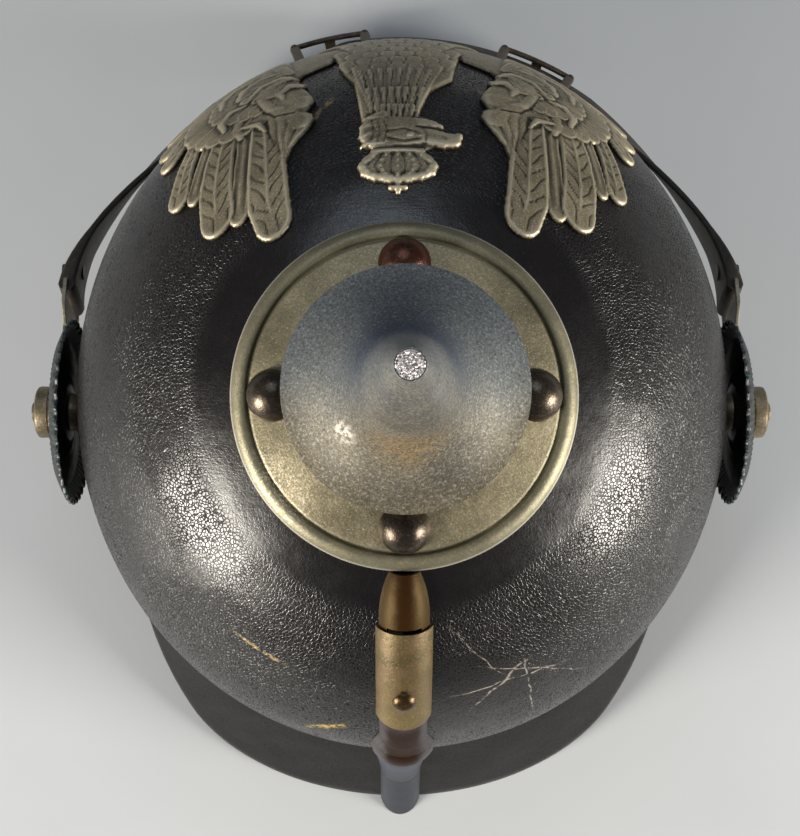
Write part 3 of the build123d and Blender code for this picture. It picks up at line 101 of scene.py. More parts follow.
def line_out(angle, grow=0.0):
    """The skull's profile as (out, up): angle from straight up, then on past a right angle down the tuck."""
    if angle < SHOULDER_START:
        return (CROWN + grow) * sin(angle), CROWN_UP + (CROWN + grow) * cos(angle)
    if angle <= pi / 2:
        return SHOULDER_OUT + (SHOULDER + grow) * sin(angle), WIDEST + (SHOULDER + grow) * cos(angle)
    return TUCK_OUT + (TUCK + grow) * sin(angle), WIDEST + (TUCK + grow) * cos(angle)


def out_at(height):
    """How far out the profile is at a height, or at an array of heights."""
    tuck = TUCK_OUT + np.sqrt(TUCK**2 - np.clip(WIDEST - height, 0, 60) ** 2)
    shoulder = SHOULDER_OUT + np.sqrt(np.maximum(SHOULDER**2 - (height - WIDEST) ** 2, 0))
    crown = np.sqrt(np.maximum(CROWN**2 - (height - CROWN_UP) ** 2, 0))
    top = CROWN_UP + CROWN * cos(SHOULDER_START)
    return np.where(height < WIDEST, tuck, np.where(height < top, shoulder, crown))[()]


def up_at(across, behind, grow=0.0):
    """The skull's height over a place in plan."""
    out = np.hypot(across / OVAL, behind + FORWARD)
    crown = CROWN_UP + np.sqrt(np.maximum((CROWN + grow) ** 2 - out**2, 0))
    shoulder = WIDEST + np.sqrt(np.maximum((SHOULDER + grow) ** 2 - (out - SHOULDER_OUT) ** 2, 0))
    return np.where(out < (CROWN + grow) * sin(SHOULDER_START), crown, shoulder)


def on_oval(out, turn, up):
    """Points of the oval: out along a turn counted from +X, at a height."""
    out, turn, up = np.broadcast_arrays(out, turn, up)
    return np.stack([OVAL * out * np.cos(turn), out * np.sin(turn) - FORWARD, up], -1)


def outward(points):
    """The skull's outward normal near points."""
    x, y = points[..., 0] / OVAL, points[..., 1] + FORWARD
    out = np.maximum(np.hypot(x, y), 1e-6)
    crown = out < CROWN_EDGE
    level = np.where(crown, out, out - SHOULDER_OUT)
    up = np.where(crown, points[..., 2] - CROWN_UP, points[..., 2] - WIDEST)
    low = points[..., 2] < WIDEST
    level = np.where(low, out - TUCK_OUT, level)
    return unit(np.stack([level * x / out / OVAL, level * y / out, up], -1))


# Meshes


def piece(name, points, faces, body, material, replaces=(), slot=None, sharp=40, turn=True):
    """A mesh of the object, from points in millimetres, with its faces turned outward."""
    mesh = bpy.data.meshes.new(name)
    mesh.from_pydata((np.asarray(points, float).reshape(-1, 3) * MM).tolist(), [], faces)
    mesh.validate()
    mesh.shade_smooth()
    if sharp:
        mesh.set_sharp_from_angle(angle=radians(sharp))
    made = bpy.data.objects.new(name, mesh)
    bpy.context.scene.collection.objects.link(made)
    mesh.materials.append(material)
    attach(made, body)
    if replaces:
        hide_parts(*replaces)
    if turn:
        work = bmesh.new()
        work.from_mesh(mesh)
        bmesh.ops.recalc_face_normals(work, faces=work.faces)
        work.to_mesh(mesh)
        work.free()
    return mesh


def quads(rows, cols, closed_cols=False, closed_rows=False):
    """Faces of a grid of points, rows by columns."""
    faces = []
    for r in range(rows if closed_rows else rows - 1):
        for c in range(cols if closed_cols else cols - 1):
            a, b = r * cols + c, r * cols + (c + 1) % cols
            d, e = (r + 1) % rows * cols + c, (r + 1) % rows * cols + (c + 1) % cols
            faces.append((a, d, e, b))
    return faces


def shell(outer, inner, closed_cols=False, keep=None):
    """A closed sheet between two grids of points. keep says which faces of the grid are there."""
    rows, cols = outer.shape[:2]
    count = rows * cols
    wide = cols if closed_cols else cols - 1
    if keep is None:
        keep = np.ones((rows - 1, wide), bool)
    faces, edges = [], {}
    for r in range(rows - 1):
        for c in range(wide):
            if not keep[r, c]:
                continue
            a, b = r * cols + c, r * cols + (c + 1) % cols
            d, e = (r + 1) * cols + c, (r + 1) * cols + (c + 1) % cols
            faces.append((a, d, e, b))
            faces.append((count + a, count + b, count + e, count + d))
            for edge in ((a, d), (d, e), (e, b), (b, a)):
                if edge[::-1] in edges:
                    del edges[edge[::-1]]
                else:
                    edges[edge] = True
    faces += [(count + s, count + t, t, s) for s, t in edges]
    return np.concatenate([outer.reshape(-1, 3), inner.reshape(-1, 3)]), faces


def rounded(points, radius, steps):
    """A closed outline with its corners rounded."""
    points = [vec(*p) for p in points]
    line = []
    for i, corner in enumerate(points):
        back, on = unit(points[i - 1] - corner), unit(points[(i + 1) % len(points)] - corner)
        cut = radius / tan(acos(float(back @ on)) / 2)
        for t in np.linspace(0, 1, steps + 1):
            line.append(corner + back * cut * (1 - t) ** 2 + on * cut * t**2)
    return np.array(line)


def lathe(outline, turns, place=None):
    """A closed outline of (out, up) turned round an axis; place is (origin, x, y, z)."""
    outline = np.asarray(outline, float)
    turn = np.linspace(0, 2 * pi, turns, endpoint=False)
    out, up = outline[:, 0][:, None], outline[:, 1][:, None]
    local = np.stack([out * np.cos(turn), out * np.sin(turn), up + 0 * turn], -1)
    if place is not None:
        origin, x, y, z = place
        local = origin + local[..., :1] * x + local[..., 1:2] * y + local[..., 2:] * z
    faces = quads(len(outline), turns, closed_cols=True, closed_rows=True)
    return local.reshape(-1, 3), [f[::-1] for f in faces]


def tube(grid, closed=False):
    """A grid whose rows are rings, with its first and last ring filled in or joined together."""
    grid = np.asarray(grid)
    rows, cols = grid.shape[:2]
    faces = quads(rows, cols, closed_cols=True, closed_rows=closed)
    if not closed:
        faces += [tuple(range(cols)), tuple(range((rows - 1) * cols, rows * cols))[::-1]]
    return grid.reshape(-1, 3), faces


def sweep(centres, wides, deeps, section, closed=False):
    """A section of (wide, deep) points carried along centres; sections may change along the way."""
    section = np.asarray(section, float)
    sections = np.broadcast_to(section, (len(centres),) + section.shape[-2:])
    grid = centres[:, None] + sections[..., :1] * wides[:, None] + sections[..., 1:] * deeps[:, None]
    return tube(grid, closed)


def joined(parts):
    """Several (points, faces) as one."""
    points, faces, count = [], [], 0
    for p, f in parts:
        points.append(p)
        faces += [tuple(count + i for i in face) for face in f]
        count += len(p)
    return np.concatenate(points), faces


# Materials


class Paint:
    """A procedural material whose noises are placed in the object's own millimetres."""

    def __init__(self, name, **sockets):
        self.material = bpy.data.materials.new(name)
        self.material.use_nodes = True
        self.tree = self.material.node_tree
        self.shader = self.tree.nodes["Principled BSDF"]
        for socket, value in sockets.items():
            self.shader.inputs[socket.replace("_", " ")].default_value = value
        place = self.node("ShaderNodeTexCoord").outputs["Object"]
        self.place = self.vector("SCALE", place, scale=1000.0)

    def node(self, kind, links={}, **settings):
        """A new node with its sockets linked or filled and its settings made."""
        made = self.tree.nodes.new(kind)
        for key, value in settings.items():
            setattr(made, key, value)
        for key, value in links.items():
            self.put(made.inputs[key], value)
        return made

    def put(self, socket, value):
        """Link another node's output to a socket, or write a value there."""
        if isinstance(value, bpy.types.NodeSocket):
            self.tree.links.new(value, socket)
        elif value is not None:
            if socket.type == "RGBA" and len(value) == 3:
                value = (*value, 1)
            socket.default_value = value

    def vector(self, how, a, b=None, scale=None):
        """A step of vector arithmetic."""
        made = self.node("ShaderNodeVectorMath", {0: a}, operation=how)
        if b is not None:
            self.put(made.inputs[1], b)
        if scale is not None:
            self.put(made.inputs["Scale"], scale)
        return made.outputs["Value" if how in ("DISTANCE", "LENGTH", "DOT_PRODUCT") else "Vector"]

    def noise(self, size, detail=3, rough=0.55, bend=0.0, place=None, stretch=None):
        """Clouds of about a size in millimetres."""
        place = place or self.place
        if stretch:
            place = self.vector("MULTIPLY", place, stretch)
        links = {"Vector": place, "Scale": 1 / size, "Detail": detail, "Roughness": rough, "Distortion": bend}
        return self.node("ShaderNodeTexNoise", links).outputs["Fac"]

    def cells(self, size, bend):
        """The distance to the nearest edge between cells of about a size in millimetres."""
        links = {"Vector": self.place, "Scale": 0.7 / size, "Detail": 2}
        push = self.node("ShaderNodeTexNoise", links).outputs["Color"]
        push = self.vector("SUBTRACT", push, (0.5, 0.5, 0.5))
        place = self.vector("ADD", self.place, self.vector("SCALE", push, scale=bend))
        links = {"Vector": place, "Scale": 1 / size}
        return self.node("ShaderNodeTexVoronoi", links, feature="DISTANCE_TO_EDGE").outputs["Distance"]

    def math(self, how, a, b=None, c=None, clamp=False):
        """A step of arithmetic."""
        made = self.node("ShaderNodeMath", {0: a}, operation=how, use_clamp=clamp)
        if b is not None:
            self.put(made.inputs[1], b)
        if c is not None:
            self.put(made.inputs[2], c)
        return made.outputs[0]

    def times(self, a, b):
        """A product."""
        return self.math("MULTIPLY", a, b)

    def scaled(self, value, factor, added, clamp=False):
        """The value times a factor, and something added."""
        return self.math("MULTIPLY_ADD", value, factor, added, clamp)

    def span(self, value, low, high, to_low=0.0, to_high=1.0):
        """A smooth step from one value to another."""
        links = {"Value": value, "From Min": low, "From Max": high, "To Min": to_low, "To Max": to_high}
        return self.node("ShaderNodeMapRange", links, interpolation_type="SMOOTHSTEP").outputs[0]

    def spot(self, place, radius, soft=0.5):
        """1 within a radius of a place in millimetres, fading to 0."""
        away = self.vector("DISTANCE", self.place, place)
        return self.span(away, radius * (1 - soft), radius * (1 + soft), 1, 0)

    def mix(self, share, a, b):
        """Colour a, with a share of colour b."""
        made = self.node("ShaderNodeMix", data_type="RGBA")
        self.put(made.inputs[0], share)
        self.put(made.inputs[6], a)
        self.put(made.inputs[7], b)
        return made.outputs[2]

    def axis(self, which):
        """One coordinate of the place: 0, 1 or 2 for x, y or z."""
        return self.node("ShaderNodeSeparateXYZ", {0: self.place}).outputs[which]

    def bump(self, *layers):
        """Layers of (height, depth in mm)."""
        normal = None
        for height, depth in layers:
            made = self.node("ShaderNodeBump", {"Height": height, "Distance": depth * MM, "Strength": 1.0})
            if normal:
                self.put(made.inputs["Normal"], normal)
            normal = made.outputs[0]
        self.put(self.shader.inputs["Normal"], normal)

    def base(self, colour):
        """Set the base colour."""
        self.put(self.shader.inputs["Base Color"], colour)

    def rough(self, value):
        """Set the roughness."""
        self.put(self.shader.inputs["Roughness"], value)


# Scuffs and scratches on the skull: place, length, width, way and colour
MARKS = (
    ((20.5, -73, 117), 7.5, 1.1, (0.55, 0.83, 0), (0.2, 0.14, 0.06)),
    ((-21.5, -78, 113), 6, 1.3, (0.75, -0.65, 0), (0.17, 0.12, 0.06)),
    ((20, 84, 101), 8.5, 0.9, (0.98, 0.17, 0), (0.42, 0.28, 0.06)),
    ((36, 62, 121), 13, 0.5, (0.83, -0.55, 0), (0.3, 0.21, 0.08)),
    ((-24, 71, 116), 16, 0.35, (0.72, 0.69, 0), (0.24, 0.2, 0.17)),
    ((-32, 72, 113), 13, 0.3, (-0.25, 0.97, 0), (0.22, 0.2, 0.18)),
    ((-27, 70, 115), 24, 0.24, (-0.95, -0.3, 0), (0.26, 0.23, 0.19)),
    ((-33, 67, 114), 22, 0.22, (-0.93, 0.1, 0), (0.24, 0.21, 0.17)),
    ((-18, 62, 125), 15, 0.22, (-0.75, 0.66, 0), (0.22, 0.19, 0.15)),
)


def lacquer(name, crackle=1.0, whole=True):
    """Black lacquered leather with a fine crackle."""
    p = Paint(name)
    area = p.noise(26, 3, 0.6)
    fine = p.cells(0.88, bend=0.5)
    near = p.span(p.vector("DISTANCE", p.place, (0, 0, 148)), 50, 56)
    patch = p.span(area, 0.36, 0.52)
    amount = p.times(p.scaled(patch, 0.35, 0.5), p.scaled(near, 0.85, 0.15) if whole else 0.3)
    if whole:
        amount = p.times(amount, p.span(p.axis(2), 62, 92, 0.3, 1.0))
    ridge = p.span(fine, 0.02, 0.17)
    crack = p.times(p.span(fine, 0.025, 0.1, 0.9, 0), amount)
    height = p.times(p.times(ridge, amount), crackle)
    dust = p.span(p.noise(0.9, 2), 0.66, 0.76)
    speck = p.times(dust, p.span(p.noise(9, 2), 0.5, 0.75))
    colour = p.mix(p.noise(17, 4), (0.0028, 0.0024, 0.003), (0.007, 0.005, 0.004))
    colour = p.mix(p.times(speck, 0.35), colour, (0.12, 0.095, 0.065))
    if whole:
        for place, length, thick, way, tone in MARKS:
            way = unit(vec(*way))
            off = p.vector("SUBTRACT", p.place, place)
            along = p.math("ABSOLUTE", p.vector("DOT_PRODUCT", off, tuple(way)))
            side = p.vector("DOT_PRODUCT", off, (-way[1], way[0], 0))
            side = p.math("ABSOLUTE", p.math("ADD", side, p.scaled(p.noise(9, 2), 3.2, -1.6)))
            mark = p.span(along, length * 0.35, length * 0.75, 1, 0)
            mark = p.times(mark, p.span(side, thick * 0.3, thick, 1, 0))
            mark = p.times(mark, p.span(p.noise(1.4, 3), 0.36, 0.6))
            colour = p.mix(mark, colour, tone)
    p.base(colour)
    scuff = p.noise(0.55, 2, 0.6, stretch=(1, 0.25, 0.25))
    hair = p.times(p.noise(0.5, 2, 0.6, stretch=(0.12, 1.1, 0.9)), p.span(near, 0, 1, 1, 0.25))
    gloss = p.math("ADD", p.scaled(p.noise(6, 4), 0.16, 0.13), p.times(scuff, 0.1))
    p.rough(p.scaled(crack, 0.5, gloss, clamp=True))
    shine = p.scaled(crack, -0.56, 0.6)
    if whole:
        shine = p.times(shine, p.span(p.axis(2), 66, 112, 0.4, 1.0))
    else:
        shine = p.times(shine, 0.4)
    p.put(p.shader.inputs["Specular IOR Level"], shine)
    waves = [(p.noise(38, 2), 1.4), (p.noise(7, 3), 0.08), (height, 0.065), (p.noise(2.2, 2), 0.04)]
    p.bump(*waves, (hair, 0.03))
    return p.material


BROWN = (0.05, 0.035, 0.02)


def old_metal(name, light, dark, stain=BROWN, metallic=0.75, rough=0.5, pits=0.5, turned=False, extra=None):
    """Aged sheet metal: patchy tone, dark pits, bright specks and fine scratches."""
    p = Paint(name, Metallic=metallic)
    tone = p.noise(14, 5, 0.65)
    colour = p.mix(p.span(tone, 0.3, 0.72), dark, light)
    grain = p.noise(0.55, 3, 0.7)
    colour = p.mix(p.span(grain, 0.35, 0.72, 0.5, 0.0), colour, tuple(c * 0.35 for c in dark))
    bright = p.span(p.noise(0.42, 2, 0.6), 0.6, 0.74, 0, 0.7)
    colour = p.mix(bright, colour, tuple(min(1, c * 1.7 + 0.04) for c in light))
    pit = p.times(p.span(p.noise(1.1, 3, 0.65), 0.62, 0.72), p.span(p.noise(16, 2), 0.42, 0.62))
    colour = p.mix(p.times(pit, pits), colour, stain)
    rub = None
    if turned:
        out = p.vector("LENGTH", p.vector("MULTIPLY", p.place, (1, 1, 0)))
        ring = p.node("ShaderNodeCombineXYZ", {0: out, 1: p.axis(2)}).outputs[0]
        rub = p.noise(0.45, 3, 0.6, place=ring)
        colour = p.mix(p.span(rub, 0.4, 0.75, 0, 0.22), colour, tuple(c * 0.5 for c in dark))
    if extra:
        colour = extra(p, colour)
    p.base(colour)
    p.rough(p.math("ADD", p.scaled(tone, 0.2, rough - 0.1), p.times(pit, 0.25)))
    layers = [(p.noise(11, 3), 0.35), (grain, 0.06), (pit, -0.05), (p.noise(0.9, 2), 0.03)]
    if rub:
        layers.append((rub, 0.02))
    p.bump(*layers)
    return p.material


def spike_patina_and_painted_reflection(p, colour):
    """Painted bluish reflection towards the front, a painted dark navy reflection near the tip, khaki behind,
    a golden stain and pitting along the rear rim.
    """
    y, z = p.axis(1), p.axis(2)
    wave = p.scaled(p.noise(8, 4), 10.0, -5.0)
    back = p.span(p.math("ADD", y, wave), -6, 12)
    # painted reflection: bluish grey over the front half
    colour = p.mix(p.times(p.math("SUBTRACT", 1.0, back), 0.75), colour, (0.12, 0.14, 0.155))
    # painted reflection: dark navy near the tip, in front
    painted_navy_reflection = p.times(p.spot((1, -13, 197), 14, 0.7), 0.97)
    colour = p.mix(painted_navy_reflection, colour, (0.004, 0.018, 0.06))
    gold = p.times(p.spot((0, 13.5, 187), 7.5, 0.6), p.span(p.noise(1.2, 4, 0.7), 0.35, 0.6))
    colour = p.mix(p.times(gold, 0.8), colour, (0.23, 0.145, 0.05))
    pale = p.times(p.spot((14, 10.5, 181), 2.6, 0.7), p.span(p.noise(1.3, 3), 0.4, 0.6))
    colour = p.mix(pale, colour, (0.62, 0.58, 0.5))
    low = p.times(p.span(z, 171.5, 175.5, 1, 0), back)
    rim = p.times(low, p.span(p.noise(0.8, 3, 0.7), 0.42, 0.6))
    colour = p.mix(rim, colour, (0.09, 0.07, 0.03))
    grain = p.noise(0.6, 3, 0.75)
    colour = p.mix(p.span(grain, 0.5, 0.34, 0, 0.6), colour, (0.02, 0.022, 0.024))
    return p.mix(p.span(grain, 0.52, 0.7, 0, 0.6), colour, (0.33, 0.33, 0.33))


def plate_patina_and_painted_light(p, colour):
    """Greenish near the edge, painted shade along the groove, a bright pitted patch at the rear left and a
    painted highlight round the outer rim.
    """
    out = p.vector("LENGTH", p.vector("MULTIPLY", p.place, (1, 1, 0)))
    edge = p.times(p.span(out, 35.5, 38, 0, 1), 0.5)
    colour = p.mix(edge, colour, (0.17, 0.165, 0.115))
    # painted shade: a dark line along the groove
    line = p.span(p.math("ABSOLUTE", p.math("SUBTRACT", out, 37.6)), 0.2, 0.7, 0.6, 0)
    line = p.times(line, p.span(p.noise(12, 2), 0.25, 0.55, 0.3, 1))
    colour = p.mix(line, colour, (0.035, 0.035, 0.02))
    patch = p.times(p.spot((28, 21, 142), 9, 0.7), p.span(p.noise(0.6, 3, 0.7), 0.5, 0.62, 0, 0.75))
    colour = p.mix(patch, colour, (0.6, 0.54, 0.4))
    # painted highlight: a pale line round the outer rim
    rim = p.span(out, 41.2, 41.6, 0, 0.8)
    return p.mix(rim, colour, (0.55, 0.52, 0.44))


def stud_patina(p, colour):
    """The front stud is rusty."""
    rust = p.span(p.axis(1), -24, -20, 1, 0)
    return p.mix(p.times(rust, p.span(p.noise(1.2, 4, 0.7), 0.3, 0.6)), colour, (0.085, 0.024, 0.014))


def eagle_wear_and_painted_highlight(p, colour):
    """Rubbed bright and painted as highlight where the relief stands up, dark in its recesses."""
    raised = p.node("ShaderNodeAttribute", attribute_name="raised").outputs["Fac"]
    colour = p.mix(p.span(raised, 0.2, 0.52, 0.92, 0), colour, (0.022, 0.02, 0.014))
    # rubbed wear and painted highlight on the raised rims and ridges
    return p.mix(p.span(raised, 0.56, 0.8, 0, 0.7), colour, (0.5, 0.44, 0.32))


def slide_patina(p, colour):
    """Warm brown clouds on the sliding cover."""
    warm = p.span(p.noise(5, 4), 0.4, 0.7, 0, 0.6)
    return p.mix(warm, colour, (0.16, 0.10, 0.055))


def spine_patina_and_painted_light(p, colour):
    """A brown cap, painted shade along the middle of the lower back, a painted bluish reflection at its bend
    and a bluish grey foot.
    """
    side, z = p.math("ABSOLUTE", p.axis(0)), p.axis(2)
    wave = p.scaled(p.noise(3, 3), 3.0, -1.5)
    cap = p.span(z, 128, 133)
    side = p.math("ADD", side, wave)
    colour = p.mix(cap, colour, p.mix(p.span(side, 1.0, 3.4), (0.03, 0.013, 0.004), (0.05, 0.032, 0.012)))
    # painted shade: dark brown along the middle of the steep lower back
    middle = p.times(p.span(side, 3.0, 6.4, 1, 0), p.span(z, 122, 114))
    middle = p.times(middle, p.span(z, 52, 66))
    colour = p.mix(middle, colour, (0.02, 0.009, 0.005))
    p.put(p.shader.inputs["Specular IOR Level"], p.span(p.math("MAXIMUM", middle, cap), 0, 1, 0.3, 0.04))
    # painted reflection: a bluish band where the back bends towards the foot
    low = p.times(p.span(z, 62, 50), p.span(z, 22, 34))
    colour = p.mix(p.times(low, 0.9), colour, (0.03, 0.04, 0.062))
    return p.mix(p.times(p.span(z, 30, 18), 0.85), colour, (0.034, 0.041, 0.052))


def plain_leather(name, dark, light, rough=0.55, grain=0.6):
    """Old worn leather with a grain, creases and lighter rubbed places."""
    p = Paint(name)
    p.shader.inputs["Specular IOR Level"].default_value = 0.4
    cloud = p.noise(9, 5, 0.65)
    colour = p.mix(p.span(cloud, 0.3, 0.75), dark, light)
    cell = p.span(p.cells(grain, bend=0.4), 0, 0.3)
    colour = p.mix(p.span(cell, 0, 1, 0.35, 0), colour, tuple(c * 0.3 for c in dark))
    crease = p.span(p.noise(2.2, 4, 0.7, 0.8, stretch=(1, 1, 0.4)), 0.55, 0.75)
    colour = p.mix(p.times(crease, 0.35), colour, tuple(min(1, c * 1.8 + 0.02) for c in light))
    p.base(colour)
    p.rough(p.scaled(cloud, 0.25, rough - 0.12))
    p.bump((p.noise(12, 3), 0.5), (crease, 0.06), (cell, 0.06), (p.noise(0.3, 2), 0.015))
    return p.material


def cockade_paint(name, side, ring):
    """Enamel bands round the post, black outside and inside a coloured ring, worn at the teeth, with painted
    green glints near the teeth.
    """
    p = Paint(name, Metallic=0.15)
    off = p.vector("SUBTRACT", p.place, (side * 95, 0, POST_UP))
    out = p.vector("LENGTH", p.vector("MULTIPLY", off, (0, 1, 1)))
    wave = p.math("ADD", out, p.scaled(p.noise(2, 3), 0.8, -0.4))
    band = p.times(p.span(wave, 12.6, 13.1), p.span(wave, 19.6, 20.1, 1, 0))
    normal = p.node("ShaderNodeNewGeometry").outputs["Normal"]
    facing = p.node("ShaderNodeSeparateXYZ", {0: normal}).outputs[0]
    facing = p.span(p.times(facing, side), 0.25, 0.6)
    colour = p.mix(p.times(band, facing), (0.009, 0.01, 0.013), ring[0])
    if len(ring) > 1:
        heart = p.times(p.span(wave, 12.6, 13.1, 1, 0), facing)
        colour = p.mix(heart, colour, ring[1])
    chip = p.times(p.span(p.noise(0.8, 4, 0.7), 0.57, 0.66), p.span(out, 8, 27, 0.2, 0.75))
    colour = p.mix(chip, colour, (0.055, 0.06, 0.055))
    # painted glints: green-blue specks near the teeth
    painted_glint = p.times(p.span(p.noise(0.7, 2), 0.6, 0.68), p.span(out, 23, 26))
    colour = p.mix(painted_glint, colour, (0.03, 0.16, 0.14))
    p.base(colour)
    p.rough(p.scaled(p.noise(3, 3), 0.25, 0.28))
    p.bump((p.noise(4, 3), 0.12), (chip, -0.05), (p.noise(0.5, 2), 0.02))
    return p.material


def thread(name):
    """Old waxed linen thread."""
    p = Paint(name)
    p.base(p.mix(p.noise(1.2, 3), (0.05, 0.038, 0.025), (0.2, 0.16, 0.11)))
    p.rough(p.scaled(p.noise(0.5, 2), 0.2, 0.7))
    p.bump((p.noise(0.25, 2, stretch=(1, 1, 2.5)), 0.08))
    return p.material


LACQUER = lacquer("lacquered_leather")
VISOR_SKIN = lacquer("visor_leather", 0.7, whole=False)
STRAP_SKIN = plain_leather("strap_leather", (0.012, 0.009, 0.006), (0.045, 0.032, 0.02), 0.5)
LINER_SKIN = plain_leather("liner_leather", (0.11, 0.055, 0.026), (0.36, 0.21, 0.115), 0.65, 0.8)
PLATE_METAL = old_metal(
    "plate_metal", (0.38, 0.33, 0.215), (0.205, 0.18, 0.115), rough=0.5, extra=plate_patina_and_painted_light
)
SPIKE_METAL = old_metal(
    "spike_metal", (0.2, 0.175, 0.12), (0.09, 0.08, 0.06),
    metallic=0.45, rough=0.6, turned=True, extra=spike_patina_and_painted_reflection,
)
NECK_METAL = old_metal("neck_metal", (0.22, 0.21, 0.15), (0.1, 0.095, 0.065), rough=0.55)
INNER_METAL = old_metal(
    "inner_metal", (0.3, 0.28, 0.24), (0.12, 0.11, 0.09), (0.1, 0.045, 0.02), rough=0.5, pits=0.8
)
TRIM_METAL = old_metal("trim_metal", (0.34, 0.32, 0.26), (0.16, 0.15, 0.11), rough=0.42)
STUD_METAL = old_metal(
    "stud_metal", (0.14, 0.11, 0.08), (0.05, 0.04, 0.032), rough=0.3, metallic=0.85, extra=stud_patina
)
SPINE_METAL = old_metal(
    "spine_metal", (0.075, 0.066, 0.07), (0.035, 0.03, 0.036), metallic=0.3, rough=0.46, extra=spine_patina_and_painted_light
)
SLIDE_METAL = old_metal(
    "slide_metal", (0.22, 0.16, 0.062), (0.1, 0.073, 0.028), metallic=0.55, rough=0.46, extra=slide_patina
)
BRASS = old_metal("post_brass", (0.36, 0.3, 0.2), (0.15, 0.12, 0.075), rough=0.45, pits=0.8)
KNOB_BRASS = old_metal("knob_brass", (0.09, 0.055, 0.02), (0.035, 0.02, 0.007), rough=0.28)
LUG_METAL = old_metal("lug_metal", (0.36, 0.34, 0.27), (0.15, 0.13, 0.09), rough=0.48)
BUCKLE_METAL = old_metal(
    "buckle_metal", (0.16, 0.12, 0.085), (0.05, 0.038, 0.028), (0.03, 0.016, 0.01), rough=0.5, pits=0.9
)
EAGLE_METAL = old_metal(
    "eagle_metal", (0.44, 0.375, 0.25), (0.21, 0.18, 0.12), metallic=0.6, rough=0.48, extra=eagle_wear_and_painted_highlight
)
THREAD = thread("waxed_thread")


# Leather skull


HOLE = 9.0
VENT_START, VENT_LONG = radians(26.5), 12
VENT_ROWS, VENT_TURNS = 9, slice(86, 94)


def skull():
    """The leather skull with its hole under the plate and the vent behind."""
    turn = np.linspace(0, 2 * pi, 360, endpoint=False)
    crown = []
    for out in np.linspace(HOLE, CROWN_EDGE - 0.4, 34):
        share = float(smooth((CROWN_EDGE - 0.4 - out) / (CROWN_EDGE - 0.4 - HOLE)))
        x = out * (share + OVAL * (1 - share)) * np.cos(turn)
        y = out * np.sin(turn) - FORWARD * (1 - share)
        crown.append((x, y))
    vent = (VENT_START, VENT_START + VENT_LONG / SHOULDER)
    end = pi / 2 + asin((WIDEST - RIM) / TUCK)
    angles = [SHOULDER_START + 0.004, *np.linspace(vent[0], vent[1], VENT_ROWS + 1)]
    angles += [*np.linspace(vent[1], pi / 2, 44)[1:], *np.linspace(pi / 2, end, 18)[1:]]

    def layer(grow):
        """The grid of one face, off the outer one by grow."""
        made = [np.stack([x, y, up_at(x, y, grow)], -1) for x, y in crown]
        for angle in angles:
            out, up = line_out(angle, grow)
            made.append(on_oval(out, turn, up))
        return np.array(made)

    outer, inner = layer(0), layer(-LEATHER)
    outer[-1] += (inner[-1] - outer[-1]) * 0.22
    inner[-1] += (outer[-1] - inner[-1]) * 0.22
    # the vent is open behind, under the spine
    keep = np.ones((len(outer) - 1, len(turn)), bool)
    keep[len(crown) + 1 : len(crown) + 1 + VENT_ROWS, VENT_TURNS] = False
    mesh = shell(outer, inner, True, keep)
    piece("skull_leather", *mesh, "helmet", LACQUER, ["skull_shell"], "black_leather", sharp=60, turn=False)


skull()


# Visors, trim and seams


EDGE_TURN = 14
VISOR_THICK = 2.2
TABLE = 0.02
STAND_LONG = 3


class Visor:
    """One visor's cone.

    way is -1 in front and 1 behind. reach is how far past the seam its foot lies, ear is how far
    from the middle its ends are, and rest is how far past the seam it stands on the table.
    """

    def __init__(self, way, reach, ear, rest):
        self.way, self.ear, self.rest = way, ear, rest
        self.top, self.out_top = SEAM_UP, out_at(SEAM_UP)
        self.slope = atan2(self.top, SEAM_OUT + reach - self.out_top)
        self.out_normal, self.up_normal = sin(self.slope), cos(self.slope)

    def low_at(self, y):
        """The height of the visor's lower edge at a distance in front or behind."""
        rest = abs(self.way * (SEAM_OUT + self.rest) - FORWARD) - STAND_LONG
        climb = atan2(self.top, rest - EDGE_TURN - self.ear)
        bend = EDGE_TURN / tan(climb / 2)
        far = self.way * y
        end = rest - bend * sin(climb)
        if far >= rest:
            return 0.0
        if far <= end:
            return bend * (1 - cos(climb)) + (end - far) * tan(climb)
        return bend * (1 - sqrt(max(0, 1 - ((rest - far) / bend) ** 2)))

    def out(self, height):
        """How far out the outer face is at a height."""
        return self.out_top + (self.top - height) / tan(self.slope)

    def at(self, turn, height, lift=0.0):
        """A point of the outer face, or that far off it along its normal."""
        out = self.out(height)
        return on_oval(out + lift * self.out_normal, turn, height + lift * self.up_normal)

    def edge(self, turn, lift):
        """The height where the face meets the lower edge, raised by lift."""
        low, high = 0.0, self.top
        for _ in range(40):
            middle = (low + high) / 2
            y = self.out(middle) * sin(turn) - FORWARD
            if middle > self.low_at(y) + lift:
                high = middle
            else:
                low = middle
        return high

    def turns(self, count, inset=0.0):
        """Turns along the visor from one ear to the other."""
        start = asin((self.way * self.ear + FORWARD) / self.out_top)
        if self.way < 0:
            return np.linspace(pi - start + inset, 2 * pi + start - inset, count)
        return np.linspace(start + inset, pi - start - inset, count)


FRONT = Visor(-1, 24.172, 40.0, 25)
REAR = Visor(1, 29.5, 35.0, 29.5)


